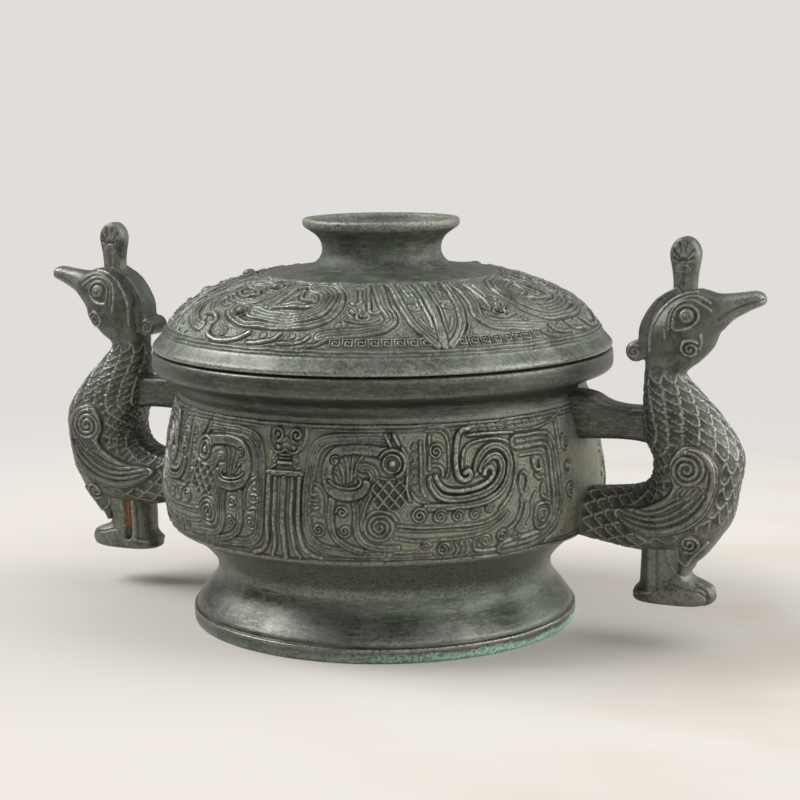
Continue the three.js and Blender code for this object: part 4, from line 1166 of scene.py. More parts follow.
def copies_tree(name, on_path):
    """A node tree that sets copies of a small form on marked points, or along a path."""
    tree = bpy.data.node_groups.new(name, "GeometryNodeTree")
    kinds = {"Geometry": "Geometry", "Form": "Object", "Pitch": "Float", "Tilt": "Float"}
    kinds["Finish"] = "Material"
    for label, kind in kinds.items():
        tree.interface.new_socket(label, in_out="INPUT", socket_type="NodeSocket" + kind)
    tree.interface.new_socket("Geometry", in_out="OUTPUT", socket_type="NodeSocketGeometry")
    given = add_node(tree, "NodeGroupInput", out=None)
    form = add_node(tree, "GeometryNodeObjectInfo", {"Object": given["Form"]}, out="Geometry")
    place = add_node(tree, "GeometryNodeInputPosition")
    level = add_node(tree, "ShaderNodeVectorMath", {0: place, 1: (1, 1, 0)}, operation="MULTIPLY")
    outward_way = add_node(tree, "ShaderNodeVectorMath", {0: level}, operation="NORMALIZE")
    if on_path:
        path = add_node(tree, "GeometryNodeMeshToCurve", {"Mesh": given["Geometry"]})
        spaced = {"Curve": path, "Length": given["Pitch"]}
        points = add_node(tree, "GeometryNodeResampleCurve", spaced, mode="LENGTH")
        size = (1.0, 1.0, 1.0)
        tilt = given["Tilt"]
    else:
        points = given["Geometry"]
        size, tilt = [
            add_node(tree, "GeometryNodeInputNamedAttribute", {"Name": key}, data_type="FLOAT")
            for key in ("size", "tilt")
        ]
    lean, rise = [
        add_node(tree, "ShaderNodeMath", {0: tilt}, operation=kind) for kind in ("COSINE", "SINE")
    ]
    upright = add_node(tree, "ShaderNodeCombineXYZ", {"Z": rise})
    level_out = add_node(tree, "ShaderNodeVectorMath", {0: outward_way, "Scale": lean}, operation="SCALE")
    facing = add_node(tree, "ShaderNodeVectorMath", {0: level_out, 1: upright}, operation="ADD")
    axes = {0: (0, 0, 1), 1: outward_way}
    beside = add_node(tree, "ShaderNodeVectorMath", axes, operation="CROSS_PRODUCT")
    axes = {0: facing, 1: beside}
    turn = add_node(tree, "FunctionNodeAxesToRotation", axes, primary_axis="Z", secondary_axis="X")
    standing = {"Points": points, "Instance": form, "Rotation": turn, "Scale": size}
    copies = add_node(tree, "GeometryNodeInstanceOnPoints", standing)
    solid = add_node(tree, "GeometryNodeRealizeInstances", {"Geometry": copies})
    dressed = add_node(tree, "GeometryNodeSetMaterial", {"Geometry": solid, "Material": given["Finish"]})
    add_node(tree, "NodeGroupOutput", {0: dressed}, out=None)
    return tree


def set_copies(name, carrier, tree, form, material, body, slot, pitch=0.0, tilt=0.0):
    """A plain mesh of a form's copies, set on a carrier mesh by a node tree."""
    small = new_object("form", form)
    holder = new_object("carrier", carrier)
    modifier = holder.modifiers.new("Copies", "NODES")
    modifier.node_group = tree
    values = {"Form": small, "Pitch": pitch, "Tilt": tilt, "Finish": material}
    for item in tree.interface.items_tree:
        if item.in_out == "INPUT" and item.name in values:
            modifier[item.identifier] = values[item.name]
    holder.update_tag()
    made = bpy.data.meshes.new_from_object(holder.evaluated_get(bpy.context.evaluated_depsgraph_get()))
    if not made.polygons:
        raise RuntimeError(name + " has no faces")
    holder.modifiers.remove(modifier)
    for item in (small, holder):
        bpy.data.objects.remove(item)
    made.name = name
    made.shade_smooth()
    return declare(new_object(name, made), body, [])


def square_spiral(size, width, height):
    """A small square spiral as a ridge with a rounded top, lying in XY and rising along Z."""
    corners = [(-1, -1), (-1, 1), (1, 1), (1, -0.66), (-0.4, -0.66), (-0.4, 0.4), (0.4, 0.4), (0.4, -0.1)]
    path = size / 2 * np.array(corners)
    section = [(-0.5, -0.5), (-0.32, 0.75 * height), (0, height), (0.32, 0.75 * height), (0.5, -0.5)]
    section = [(a * width, b) for a, b in section]
    rings = []
    for i, place in enumerate(path):
        before = path[i] - path[max(i - 1, 0)]
        after = path[min(i + 1, len(path) - 1)] - path[i]
        way = before / max(np.linalg.norm(before), 1e-9) + after / max(np.linalg.norm(after), 1e-9)
        way = way / np.linalg.norm(way)
        mitre = 1.414 if 0 < i < len(path) - 1 else 1.0
        aside = mitre * np.array([way[1], -way[0]])
        rings.append([(*(place + aside * a), b) for a, b in section])
    points = np.array(rings).reshape(-1, 3)
    mesh = solid_mesh("square_spiral", points, tube_faces(len(path), len(section)))
    set_mark(mesh, "proud", 0.6 * (points[:, 2] > 0))
    return mesh


def eye_boss():
    """A round eye of unit radius with a flattened top, rising along Z."""
    profile = [(0, -0.5), (1.0, -0.5), (1.0, 0.22), (0.92, 0.5), (0.7, 0.72), (0.36, 0.84), (0.0, 0.88)]
    points, faces, _ = turned(np.array(profile), 20)
    return solid_mesh("eye_boss", points, faces)


def four_sides(axis, turn):
    """Degrees of a place on both sides of a pattern's axis, and again half a turn on."""
    return [middle + side * turn for middle in (axis, axis + 180) for side in (1, -1)]


def arc_carrier(axis, first, last, radius, height):
    """A mesh of bare lines along level arcs, between two turns from each side of a pattern's axis."""
    count = 24
    points, edges = [], []
    for start, end in zip(four_sides(axis, first), four_sides(axis, last)):
        edges += [(len(points) + i, len(points) + i + 1) for i in range(count - 1)]
        for t in np.radians(np.linspace(start, end, count)):
            points.append((radius * math.sin(t) * MM, -radius * math.cos(t) * MM, height * MM))
    mesh = bpy.data.meshes.new("arcs")
    mesh.from_pydata(points, edges, [])
    return mesh


def point_carrier(points, sizes, tilts):
    """A mesh of bare points with the size and tilt of what stands on each."""
    mesh = bpy.data.meshes.new("points")
    mesh.from_pydata((np.array(points) * MM).tolist(), [], [])
    set_mark(mesh, "size", sizes)
    set_mark(mesh, "tilt", tilts)
    return mesh


def node_material(name):
    """A new material and its empty node tree."""
    material = bpy.data.materials.new(name)
    material.use_nodes = True
    material.node_tree.nodes.clear()
    return material, material.node_tree


def patinated_bronze(name, colours, metallic, roughness, blotch_mm, dusty, scuffs, streaks, verdigris_mm=0.0):
    """Cast bronze under a dark chemical patina: satin grey skin with pale smears, dust on the sunk ground,
    black in the tightest lines and paler metal rubbed bare on ridges and edges. On the bowl the paler tone
    is also a painted highlight on the underside, and the black is painted shade on neck, rim and mouth."""
    material, tree = node_material(name)
    place = add_node(tree, "ShaderNodeTexCoord", out="Object")
    hollow, proud, ground, rust = [
        add_node(tree, "ShaderNodeAttribute", attribute_name=key, out="Fac")
        for key in ("hollow", "proud", "ground", "rust")
    ]
    brushed = add_node(tree, "ShaderNodeVectorMath", {0: place, 1: (1, 1, streaks)}, operation="MULTIPLY")
    # Blotches, slow drift, wiped smears and grit: place, size in mm, detail, roughness, distortion
    noises = {}
    for key, at, size_mm, detail, harshness, distortion in (
        ("clouds", place, blotch_mm, 5.0, 0.62, 0.0),
        ("drift", place, 2.6 * blotch_mm, 3.0, 0.5, 0.6),
        ("smears", brushed, 7, 6.0, 0.7, 0.3),
        ("grit", place, 1.3, 4.0, 0.7, 0.0),
    ):
        inputs = {"Vector": at, "Scale": 1 / (size_mm * MM), "Detail": detail, "Roughness": harshness}
        inputs["Distortion"] = distortion
        noises[key] = add_node(tree, "ShaderNodeTexNoise", inputs, out="Fac")
    # How much of each tone shows: noise, range that is read from it, and range that comes out
    shares = {}
    for key, noise, low, high, least, most in (
        ("cloud", "clouds", 0.42, 0.58, 0.0, 1.0),
        ("green", "drift", 0.46, 0.62, 0.0, 0.6),
        ("smear", "smears", 0.48, 0.63, 0.0, 0.6),
        ("scuff", "grit", 0.52, 0.64, 0.0, scuffs),
        ("pit", "grit", 0.45, 0.34, 0.0, 0.5),
        ("patchy", "clouds", 0.3, 0.7, 0.4, 1.0),
        ("dust_tone", "drift", 0.42, 0.56, 0.0, 1.0),
        ("broken", "grit", 0.4, 0.58, 0.25, 1.0),
        ("rough", "smears", 0.3, 0.7, roughness - 0.07, roughness + 0.1),
    ):
        inputs = {"Value": noises[noise], "From Min": low, "From Max": high, "To Min": least, "To Max": most}
        shares[key] = add_node(tree, "ShaderNodeMapRange", inputs)
    settled = add_node(tree, "ShaderNodeMath", {0: ground, 1: shares["patchy"]}, operation="MULTIPLY")
    settled = add_node(tree, "ShaderNodeMath", {0: settled, 1: dusty}, operation="MULTIPLY")
    dusted = add_node(tree, "ShaderNodeMath", {0: settled, 1: shares["scuff"]}, operation="MAXIMUM")
    tones = {0: shares["dust_tone"], 6: linear(colours["dust"]), 7: linear(colours["green_dust"])}
    dust = add_node(tree, "ShaderNodeMix", tones, data_type="RGBA", out=2)
    # On the bowl this paler tone is also a painted highlight on the underside, beside real rubbing on ridges
    rubbed = add_node(tree, "ShaderNodeMath", {0: shares["broken"], 1: proud}, operation="MULTIPLY")
    # On the bowl the black line tone is also painted shade on neck, rim and mouth
    sunk = add_node(tree, "ShaderNodeMath", {0: hollow, 1: 0.85}, operation="MULTIPLY")
    dark = add_node(tree, "ShaderNodeMath", {0: sunk, 1: shares["pit"]}, operation="MAXIMUM")
    # Layers from the deep tone up: share, colour and what each adds to the roughness
    layers = [
        (shares["cloud"], linear(colours["skin"]), 0),
        (shares["green"], linear(colours["green"]), 0),
        (shares["smear"], linear(colours["pale"]), 0),
        (dusted, dust, 0.2),
        (rubbed, linear(colours["worn"]), -0.16),
        (dark, linear(colours["line"]), 0),
        (rust, linear(colours["rust"]), 0),
    ]
    if verdigris_mm:
        # A matt broken crust along the lower edge, thicker on the damp side
        start_mm = 7.2
        height = add_node(tree, "ShaderNodeSeparateXYZ", {0: place}, out="Z")
        uneven = {0: noises["clouds"], 1: 9 * MM, 2: height}
        ragged = add_node(tree, "ShaderNodeMath", uneven, operation="MULTIPLY_ADD")
        fade = {"Value": ragged, "From Min": start_mm * MM, "From Max": (start_mm + verdigris_mm) * MM}
        crust = add_node(tree, "ShaderNodeMapRange", {**fade, "To Min": 1.0, "To Max": 0.0})
        across = {0: place, 1: DAMP_SIDE}
        aside = add_node(tree, "ShaderNodeVectorMath", across, operation="DOT_PRODUCT", out="Value")
        wetter = {"Value": aside, "From Min": -40 * MM, "From Max": 50 * MM, "To Min": 0.12}
        damp = add_node(tree, "ShaderNodeMapRange", wetter)
        for share in (damp, shares["broken"]):
            crust = add_node(tree, "ShaderNodeMath", {0: crust, 1: share}, operation="MULTIPLY")
        layers.append((crust, linear(colours["verdigris"]), 0.4))
        bare = {0: crust, 1: -metallic, 2: metallic}
        metallic = add_node(tree, "ShaderNodeMath", bare, operation="MULTIPLY_ADD")
    skin = linear(colours["deep"])
    rough = shares["rough"]
    for share, colour, rougher in layers:
        skin = add_node(tree, "ShaderNodeMix", {0: share, 6: skin, 7: colour}, data_type="RGBA", out=2)
        if rougher:
            added = {0: share, 1: rougher, 2: rough}
            rough = add_node(tree, "ShaderNodeMath", added, operation="MULTIPLY_ADD")
    fine = {"Height": noises["grit"], "Strength": 0.5, "Distance": 0.3 * MM}
    bump = add_node(tree, "ShaderNodeBump", fine)
    surface = {"Base Color": skin, "Metallic": metallic, "Roughness": rough, "Normal": bump}
    shader = add_node(tree, "ShaderNodeBsdfPrincipled", surface)
    add_node(tree, "ShaderNodeOutputMaterial", {"Surface": shader}, out=None)
    return material


FINISHES = {}


def finish_of(key):
    """One of the vessel's finishes, made when it is first asked for."""
    if key in FINISHES:
        return FINISHES[key]
    colours = bpy.context.scene.gui_finish
    palette = {name: getattr(colours, name) for name in GuiVesselFinish.__annotations__}
    palette["skin"] = palette[key]
    if key == "lid":
        palette["dust"] = palette["green_dust"]
    # Name, metallic, roughness, blotches in mm, dust, scuffs, streaks and where the verdigris fades in mm
    settings = {
        # Relief with dark ribs over dusty ground
        "belly": ("relief_cast_bronze", 0.6, 0.4, 14, 0.9, 0.2, 1),
        # Smooth wall with wiped level streaks
        "dark": ("smooth_dark_bronze", 0.7, 0.4, 22, 0, 0.2, 6),
        # Dull grip with much scuffing
        "knob": ("rubbed_knob_bronze", 0.35, 0.55, 14, 0, 0.4, 3),
        # Polished flare with a green lower edge
        "foot": ("foot_bronze_with_verdigris", 0.8, 0.34, 22, 0, 0.15, 7, 1.6),
        # Paler dome with greenish dust
        "lid": ("dusty_lid_bronze", 0.6, 0.42, 18, 0.45, 0.4, 1),
        # Satin birds with pale scale rims
        "bird": ("bird_cast_bronze", 0.55, 0.42, 12, 0, 0.3, 1),
    }
    name, *values = settings[key]
    FINISHES[key] = patinated_bronze(name, palette, *values)
    return FINISHES[key]


def paper_floor(stage):
    """Matt pale paper with warm stains to the right, which turns into the backdrop away from the vessel."""
    material, tree = node_material("pale_paper_floor")
    place = add_node(tree, "ShaderNodeTexCoord", out="Object")
    drawn_out = add_node(tree, "ShaderNodeVectorMath", {0: place, 1: (7, 12, 1)}, operation="MULTIPLY")
    cloudy = {"Vector": drawn_out, "Scale": 1.0, "Detail": 5.0}
    mottle = add_node(tree, "ShaderNodeTexNoise", cloudy, out="Fac")
    faint = {"Value": mottle, "From Min": 0.46, "From Max": 0.68, "To Max": 0.36}
    share = add_node(tree, "ShaderNodeMapRange", faint)
    across = {0: place, 1: DAMP_SIDE}
    aside = add_node(tree, "ShaderNodeVectorMath", across, operation="DOT_PRODUCT", out="Value")
    stained = {"Value": aside, "From Min": -0.05, "From Max": 0.16, "To Min": 0.1}
    right = add_node(tree, "ShaderNodeMapRange", stained)
    share = add_node(tree, "ShaderNodeMath", {0: share, 1: right}, operation="MULTIPLY")
    tones = {0: share, 6: linear(stage.floor), 7: linear(stage.stain)}
    colour = add_node(tree, "ShaderNodeMix", tones, data_type="RGBA", out=2)
    paper = add_node(tree, "ShaderNodeBsdfDiffuse", {"Color": colour})
    glow = add_node(tree, "ShaderNodeEmission", {"Color": linear(stage.backdrop)})
    reach = add_node(tree, "ShaderNodeVectorMath", {0: place}, operation="LENGTH", out="Value")
    fade = {"Value": reach, "From Min": 0.18, "From Max": 0.7}
    far = add_node(tree, "ShaderNodeMapRange", fade, interpolation_type="SMOOTHSTEP")
    rays = add_node(tree, "ShaderNodeLightPath", out=None)
    either = {0: rays["Is Camera Ray"], 1: rays["Is Glossy Ray"]}
    seen = add_node(tree, "ShaderNodeMath", either, operation="MAXIMUM")
    shown = add_node(tree, "ShaderNodeMath", {0: far, 1: seen}, operation="MULTIPLY")
    surface = add_node(tree, "ShaderNodeMixShader", {0: shown, 1: paper, 2: glow})
    add_node(tree, "ShaderNodeOutputMaterial", {"Surface": surface}, out=None)
    return material


def set_floor(stage):
    """A wide flat disc a little below the vessel's foot."""
    sides, radii, drop = 64, (0.5, 1.5, 4.0), 0.0002
    turn = 2 * math.pi * np.arange(sides) / sides
    rings = [np.column_stack([r * np.cos(turn), r * np.sin(turn), 0 * turn - drop]) for r in radii]
    faces = [list(range(sides))]
    index = np.arange(sides * len(radii)).reshape(-1, sides)
    for inner, outer in zip(index[:-1], index[1:]):
        faces += np.stack([inner, outer, np.roll(outer, -1), np.roll(inner, -1)], -1).tolist()
    mesh = bpy.data.meshes.new("floor")
    mesh.from_pydata(np.vstack(rings).tolist(), [], faces)
    mesh.materials.append(paper_floor(stage))
    new_object("floor", mesh)


def set_lamps(stage):
    """Four soft area lamps that face the vessel: name, power, size and place in metres."""
    for name, power, size, at in (
        ("key", stage.key_power, 1.1, (-1.3, -0.38, 1.45)),
        ("top", stage.top_power, 0.6, (0.4, 0.1, 1.5)),
        ("fill", stage.fill_power, 1.8, (1.5, 0.55, 0.8)),
        ("front", stage.front_power, 2.0, (1.15, -1.25, 0.6)),
    ):
        light = bpy.data.lights.new(name, "AREA")
        light.energy = power
        light.size = size
        lamp = new_object(name, light)
        lamp.location = at
        lamp.rotation_euler = (-lamp.location).to_track_quat("-Z", "Y").to_euler()


def studio_world(stage):
    """Room light that is dimmer in front of the vessel, with the backdrop's colour where the camera looks."""
    world = bpy.data.worlds.new("studio")
    world.use_nodes = True
    tree = world.node_tree
    tree.nodes.clear()
    way = add_node(tree, "ShaderNodeTexCoord", out="Generated")
    forward = {0: way, 1: (0.42, -0.9, 0.0)}
    front = add_node(tree, "ShaderNodeVectorMath", forward, operation="DOT_PRODUCT", out="Value")
    fade = {"Value": front, "From Min": -0.1, "From Max": 0.85}
    dim = add_node(tree, "ShaderNodeMapRange", fade, interpolation_type="SMOOTHSTEP")
    tones = {0: dim, 6: linear(stage.room), 7: linear(stage.room_front)}
    room = add_node(tree, "ShaderNodeMix", tones, data_type="RGBA", out=2)
    rays = add_node(tree, "ShaderNodeLightPath", out=None)
    tones = {0: rays["Is Camera Ray"], 6: room, 7: linear(stage.backdrop)}
    shown = add_node(tree, "ShaderNodeMix", tones, data_type="RGBA", out=2)
    light = add_node(tree, "ShaderNodeBackground", {"Color": shown})
    add_node(tree, "ShaderNodeOutputWorld", {"Surface": light}, out=None)
    return world


def set_camera(stage):
    """The camera at the photograph's viewing angle."""
    camera = new_object("camera", bpy.data.cameras.new("camera"))
    camera.data.lens = stage.focal_length
    camera.data.sensor_width = 36.0
    camera.data.shift_x = 17 / 800
    level_x = stage.distance * math.sin(stage.azimuth)
    level_y = -stage.distance * math.cos(stage.azimuth)
    camera.location = (level_x, level_y, stage.eye_height)
    turn = Matrix.Rotation(stage.azimuth, 4, "Z") @ Matrix.Rotation(math.pi / 2 - stage.pitch, 4, "X")
    camera.rotation_euler = (turn @ Matrix.Rotation(stage.roll, 4, "Z")).to_euler()
    return camera


class GuiVesselSizes(bpy.types.PropertyGroup):
    """Sizes of the vessel's ornament."""

    belly_share: FloatProperty(name="Belly relief", description="Share of the belly ornament's drawn height",
                               default=1.0, subtype="FACTOR")
    lid_share: FloatProperty(name="Lid relief", description="Share of the lid ornament's drawn height",
                             default=0.86, subtype="FACTOR")
    drawing_step: FloatProperty(name="Drawing step", description="Grid on which the ornament is drawn",
                                default=0.25 * MM, unit="LENGTH")
    casting_wave: FloatProperty(name="Casting wave", description="Unevenness of the smooth castings",
                                default=0.18 * MM, unit="LENGTH")


class GuiVesselBird(bpy.types.PropertyGroup):
    """Sizes of the bird handles."""

    grain: FloatProperty(name="Skin grain", description="Size of the skin's faces", default=0.55 * MM,
                         unit="LENGTH")
    wing_lift: FloatProperty(name="Wing lift", description="How far the wing stands off the flank",
                             default=2.4 * MM, unit="LENGTH")
    scale_length: FloatProperty(name="Scale length", description="Visible length of a feather scale",
                                default=5.4 * MM, unit="LENGTH")
    scale_width: FloatProperty(name="Scale width", description="Width of a feather scale", default=7.0 * MM,
                               unit="LENGTH")
    scale_lift: FloatProperty(name="Scale lift", description="How far a scale's rim stands up",
                              default=0.75 * MM, unit="LENGTH")


class GuiVesselFinish(bpy.types.PropertyGroup):
    """Colours of the bronze, as sRGB hex values."""

    belly: StringProperty(name="Belly", description="Skin of the relief on the belly", default="#464742")
    dark: StringProperty(name="Smooth parts", description="Skin of rim, neck and bars", default="#55564f")
    knob: StringProperty(name="Knob", description="Skin of the lid's knob", default="#5c5d57")
    foot: StringProperty(name="Foot", description="Skin of the ring foot", default="#6c6c68")
    lid: StringProperty(name="Lid", description="Skin of the lid", default="#666862")
    bird: StringProperty(name="Birds", description="Skin of the birds", default="#72736a")
    deep: StringProperty(name="Deep tone", description="Darker blotches", default="#44463f")
    green: StringProperty(name="Green tone", description="Green drift in the patina", default="#5c6a59")
    pale: StringProperty(name="Pale smears", description="Smears of paler metal", default="#84867e")
    dust: StringProperty(name="Dust", description="Dust in the surface", default="#90917a")
    green_dust: StringProperty(name="Green dust", description="Dust of the lid and of patches",
                               default="#868c80")
    # Also the painted highlight on the bowl's underside
    worn: StringProperty(name="Rubbed ridges", description="Paler metal on ridges", default="#a4a69a")
    # Also the painted shade on the bowl's neck, rim and mouth
    line: StringProperty(name="Line dark", description="Black of the tight lines", default="#23241f")
    rust: StringProperty(name="Rust", description="Rusty earth left in a slot", default="#85603c")
    verdigris: StringProperty(name="Verdigris", description="Green salt at the foot", default="#a4d0b4")


class GuiVesselStage(bpy.types.PropertyGroup):
    """Stage and camera."""

    floor: StringProperty(name="Floor", description="Colour of the floor", default="#d0ccc6")
    stain: StringProperty(name="Stain", description="Warm streaks of the floor", default="#bdad9c")
    backdrop: StringProperty(name="Backdrop", description="Colour behind the vessel", default="#e1dddb")
    room: StringProperty(name="Room", description="Light of the room all round", default="#a8a4a1")
    room_front: StringProperty(name="Room in front", description="Light of the room before the vessel",
                               default="#82807d")
    key_power: FloatProperty(name="Key light", description="Power of the large soft light", default=33.5,
                             unit="POWER")
    top_power: FloatProperty(name="Top light", description="Power of the light overhead", default=3.0,
                             unit="POWER")
    fill_power: FloatProperty(name="Fill light", description="Power of the low right light", default=32.0,
                              unit="POWER")
    front_power: FloatProperty(name="Front light", description="Power of the low light in front", default=9.0,
                               unit="POWER")
    focal_length: FloatProperty(name="Focal length", description="Lens, in millimetres", default=88.0)
    distance: FloatProperty(name="Camera distance", description="Level distance from the vessel's axis",
                            default=0.938, unit="LENGTH")
    eye_height: FloatProperty(name="Camera height", description="Height above the floor", default=0.258,
                              unit="LENGTH")
    azimuth: FloatProperty(name="Camera azimuth", description="Round from the front to the right handle",
                           default=math.radians(24.8), subtype="ANGLE")
    pitch: FloatProperty(name="Camera pitch", description="Tilt below the level", default=math.radians(9.3),
                         subtype="ANGLE")
    roll: FloatProperty(name="Camera roll", description="Lean of the picture", default=math.radians(-0.57),
                        subtype="ANGLE")


class GUIVESSEL_OT_ring_foot(bpy.types.Operator):
    """Turn the flared ring foot"""

    bl_idname = "gui_vessel.ring_foot"
    bl_label = "Ring foot"

    def execute(self, context):
        wave = context.scene.gui_sizes.casting_wave / MM
        points, faces, marks = turned(runs_line(FOOT_RUNS, 0.9), FOOT_AROUND, wave)
        owner = ("vessel", ["ring_foot"], "dark_bronze")
        make_piece("ring_foot_casting", points, faces, finish_of("foot"), *owner, marks)
        return {"FINISHED"}


class GUIVESSEL_OT_bowl(bpy.types.Operator):
    """Turn the bowl and set the four tiles of relief on its belly"""

    bl_idname = "gui_vessel.bowl"
    bl_label = "Bowl"

    def execute(self, context):
        sizes = context.scene.gui_sizes
        belly = Meridian(BELLY)
        bed = np.stack(belly.at(np.linspace(0.4, belly.length[-1] - 0.4, 44), -BED_DEPTH), -1)
        below = [smooth_line(BOWL_FLOOR, 2.0), smooth_line(UNDERSIDE, 1.0), belly.line[:1]]
        above = [belly.line[-1:], smooth_line(RIM, 0.5), runs_line(BOWL_INSIDE, 4.0)]
        profile = np.vstack([*below, bed, *above])
        points, faces, marks = turned(profile, BOWL_AROUND, sizes.casting_wave / MM)
        # Painted light and shade: the underside is painted paler as if lit from the floor, and neck, rim and
        # mouth are painted darker as shade
        marks["proud"] = np.maximum(marks["proud"], 0.4 * (points[:, 2] < 47.5))
        marks["hollow"] = np.maximum(marks["hollow"], 0.5 * (points[:, 2] > 112))
        owner = ("vessel", ["bowl"], "bowl_bronze")
        make_piece("bowl_casting", points, faces, finish_of("dark"), *owner, marks)

        def drawn(s, a):
            fold = np.abs((a + math.pi / 2) % math.pi - math.pi / 2)
            return np.stack([BELLY_SPREAD * fold, belly.at(s, 0)[1]], -1) + stray(a, s, BELLY_STRAY)

        rows, columns = BELLY_GRID
        relief = belly_relief(sizes.drawing_step / MM)
        relief_quarters("belly_relief", belly, np.linspace(0, belly.length[-1], rows), 0.0, columns, drawn,
                        relief, sizes.belly_share, BELLY_WEAR, finish_of("belly"), owner)
        return {"FINISHED"}


class GUIVESSEL_OT_lid(bpy.types.Operator):
    """Turn the lid and set the four tiles of relief on its dome"""

    bl_idname = "gui_vessel.lid"
    bl_label = "Lid"

    def execute(self, context):
        sizes = context.scene.gui_sizes
        dome = Meridian(LID_DOME)
        before = dome.line[dome.length < LID_RANGE[0]]
        after = dome.line[dome.length > LID_RANGE[1]]
        bed = np.stack(dome.at(np.linspace(*LID_RANGE, 36), -BED_DEPTH), -1)
        edges = [np.stack(dome.at(np.array([s]), 0), -1) for s in LID_RANGE]
        # The smooth bands outside and inside the relief need only some of the outline's points
        outside = np.vstack([before[::3], edges[0], bed, edges[1], after[::4], after[-1:]])
        profile = np.vstack([runs_line(LID_UNDER, 4.0), outside])
        points, faces, marks = turned(profile, BOWL_AROUND, 0.5 * sizes.casting_wave / MM)
        owner = ("lid", ["lid_dome"], "lid_bronze")
        make_piece("lid_casting", points, faces, finish_of("lid"), *owner, marks)
        axis = math.radians(LID_AXIS)

        def drawn(s, a):
            fold = np.abs((a - axis + math.pi / 2) % math.pi - math.pi / 2)
            return lid_flat(np.stack([np.degrees(fold), s], -1)) + stray(a, s, LID_STRAY)

        rows, columns = LID_GRID
        relief = lid_relief(sizes.drawing_step / MM)
        relief_quarters("lid_relief", dome, np.linspace(*LID_RANGE, rows), axis, columns, drawn, relief,
                        sizes.lid_share, LID_WEAR, finish_of("lid"), owner)
        return {"FINISHED"}


class GUIVESSEL_OT_knob(bpy.types.Operator):
    """Turn the ring-shaped knob of the lid"""

    bl_idname = "gui_vessel.knob"
    bl_label = "Knob"

    def execute(self, context):
        wave = context.scene.gui_sizes.casting_wave / MM
        points, faces, marks = turned(runs_line(KNOB_RUNS, 0.6), KNOB_AROUND, wave)
        owner = ("lid", ["lid_knob"], "lid_bronze")
        make_piece("knob_casting", points, faces, finish_of("knob"), *owner, marks)
        return {"FINISHED"}


class GUIVESSEL_OT_repeats(bpy.types.Operator):
    """Set the square spirals of the borders and the eye bosses of the lid"""

    bl_idname = "gui_vessel.repeats"
    bl_label = "Repeated ornament"

    def execute(self, context):
        row = copies_tree("Spirals along a path", True)
        spots = copies_tree("Bosses on points", False)
        belly, dome = Meridian(BELLY), Meridian(LID_DOME)
        radius = float(np.interp(BELLY_ROW_Z, belly.line[:, 1], belly.line[:, 0]))
        first, last = [math.degrees(u / BELLY_SPREAD) for u in (87, 127)]
        path = arc_carrier(0, first, last, radius, BELLY_ROW_Z)
        spiral = square_spiral(2.7, 0.6, 0.7)
        pitch, tilt = 4.5 * MM, 0.2
        owner = ("vessel", "bowl_bronze")
        set_copies("belly_square_spirals", path, row, spiral, finish_of("belly"), *owner, pitch, tilt)
        radius, height = [float(v[0]) for v in dome.at(np.array([LID_ROW_IN]), 0)]
        path = arc_carrier(LID_AXIS, 4.6, 27, radius, height)
        spiral = square_spiral(4.2, 0.75, 0.8)
        pitch, tilt = 5.6 * MM, 0.66
        owner = ("lid", "lid_bronze")
        set_copies("lid_square_spirals", path, row, spiral, finish_of("lid"), *owner, pitch, tilt)
        points, sizes, tilts = [], [], []
        for turn, inward, size in LID_EYES:
            r, z = dome.at(np.array([inward, inward + 0.5]), 0)
            for a in np.radians(four_sides(LID_AXIS, turn)):
                points.append((r[0] * math.sin(a), -r[0] * math.cos(a), z[0]))
                sizes.append(size)
                tilts.append(math.atan2(r[0] - r[1], z[1] - z[0]))
        places = point_carrier(points, sizes, tilts)
        set_copies("lid_eye_bosses", places, spots, eye_boss(), finish_of("lid"), *owner)
        return {"FINISHED"}


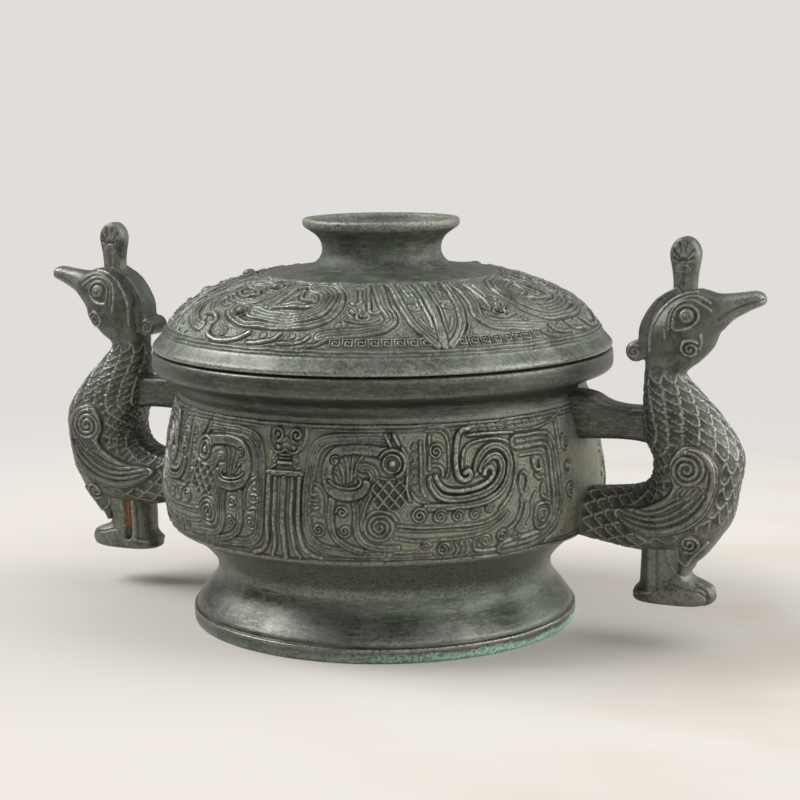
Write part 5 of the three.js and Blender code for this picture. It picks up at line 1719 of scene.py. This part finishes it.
class GUIVESSEL_OT_birds(bpy.types.Operator):
    """Model the two bird handles with their crests, legs and upper bars"""

    bl_idname = "gui_vessel.birds"
    bl_label = "Bird handles"

    def execute(self, context):
        body = bird_skin(context.scene.gui_bird)
        skins = {
            "bird": (body, "bird", ("bird", "wing_front", "wing_back"), "bird_bronze"),
            "legs": (leg_skin(), "bird", ("legs",), "bird_bronze"),
            "crest": (crest_skin(), "bird", ("crest",), "bird_bronze"),
            "bridge": (bridge_skin(), "dark", ("bridge",), "dark_bronze"),
        }
        for side in ("right", "left"):
            for part, ((points, faces, marks), finish, nodes, slot) in skins.items():
                turned_round = points if side == "right" else half_turn(points)
                make_piece(side + "_" + part + "_casting", turned_round, faces, finish_of(finish), "vessel",
                           [side + "_" + node for node in nodes], slot, marks)
        return {"FINISHED"}


class GUIVESSEL_OT_stage(bpy.types.Operator):
    """Set the pale floor, soft lights and the camera"""

    bl_idname = "gui_vessel.stage"
    bl_label = "Stage"

    def execute(self, context):
        stage = context.scene.gui_stage
        set_floor(stage)
        set_lamps(stage)
        context.scene.world = studio_world(stage)
        context.scene.camera = set_camera(stage)
        context.scene.view_settings.view_transform = "Standard"
        return {"FINISHED"}


class GUIVESSEL_PT_sidebar(bpy.types.Panel):
    """Lists the vessel's sizes and the steps that build it"""

    bl_idname = "GUIVESSEL_PT_sidebar"
    bl_label = "Bronze gui vessel"
    bl_space_type = "VIEW_3D"
    bl_region_type = "UI"
    bl_category = "Gui vessel"

    def draw(self, context):
        for key, kind in GROUPS.items():
            box = self.layout.box()
            for name in kind.__annotations__:
                box.prop(getattr(context.scene, key), name)
        for step in STEPS:
            self.layout.operator(step.bl_idname)


GROUPS = {
    "gui_sizes": GuiVesselSizes,
    "gui_bird": GuiVesselBird,
    "gui_finish": GuiVesselFinish,
    "gui_stage": GuiVesselStage,
}
STEPS = (
    GUIVESSEL_OT_stage,
    GUIVESSEL_OT_ring_foot,
    GUIVESSEL_OT_bowl,
    GUIVESSEL_OT_lid,
    GUIVESSEL_OT_knob,
    GUIVESSEL_OT_repeats,
    GUIVESSEL_OT_birds,
)


def register():
    """Registers the settings, steps and panel."""
    for key, group in GROUPS.items():
        bpy.utils.register_class(group)
        setattr(bpy.types.Scene, key, PointerProperty(type=group))
    for item in (*STEPS, GUIVESSEL_PT_sidebar):
        bpy.utils.register_class(item)


def unregister():
    """Takes the settings, steps and panel away again."""
    for item in (GUIVESSEL_PT_sidebar, *reversed(STEPS)):
        bpy.utils.unregister_class(item)
    for key, group in GROUPS.items():
        delattr(bpy.types.Scene, key)
        bpy.utils.unregister_class(group)


def main():
    """Builds the vessel."""
    register()
    for step in STEPS:
        group, name = step.bl_idname.split(".")
        getattr(getattr(bpy.ops, group), name)()


if __name__ == "__main__":
    main()
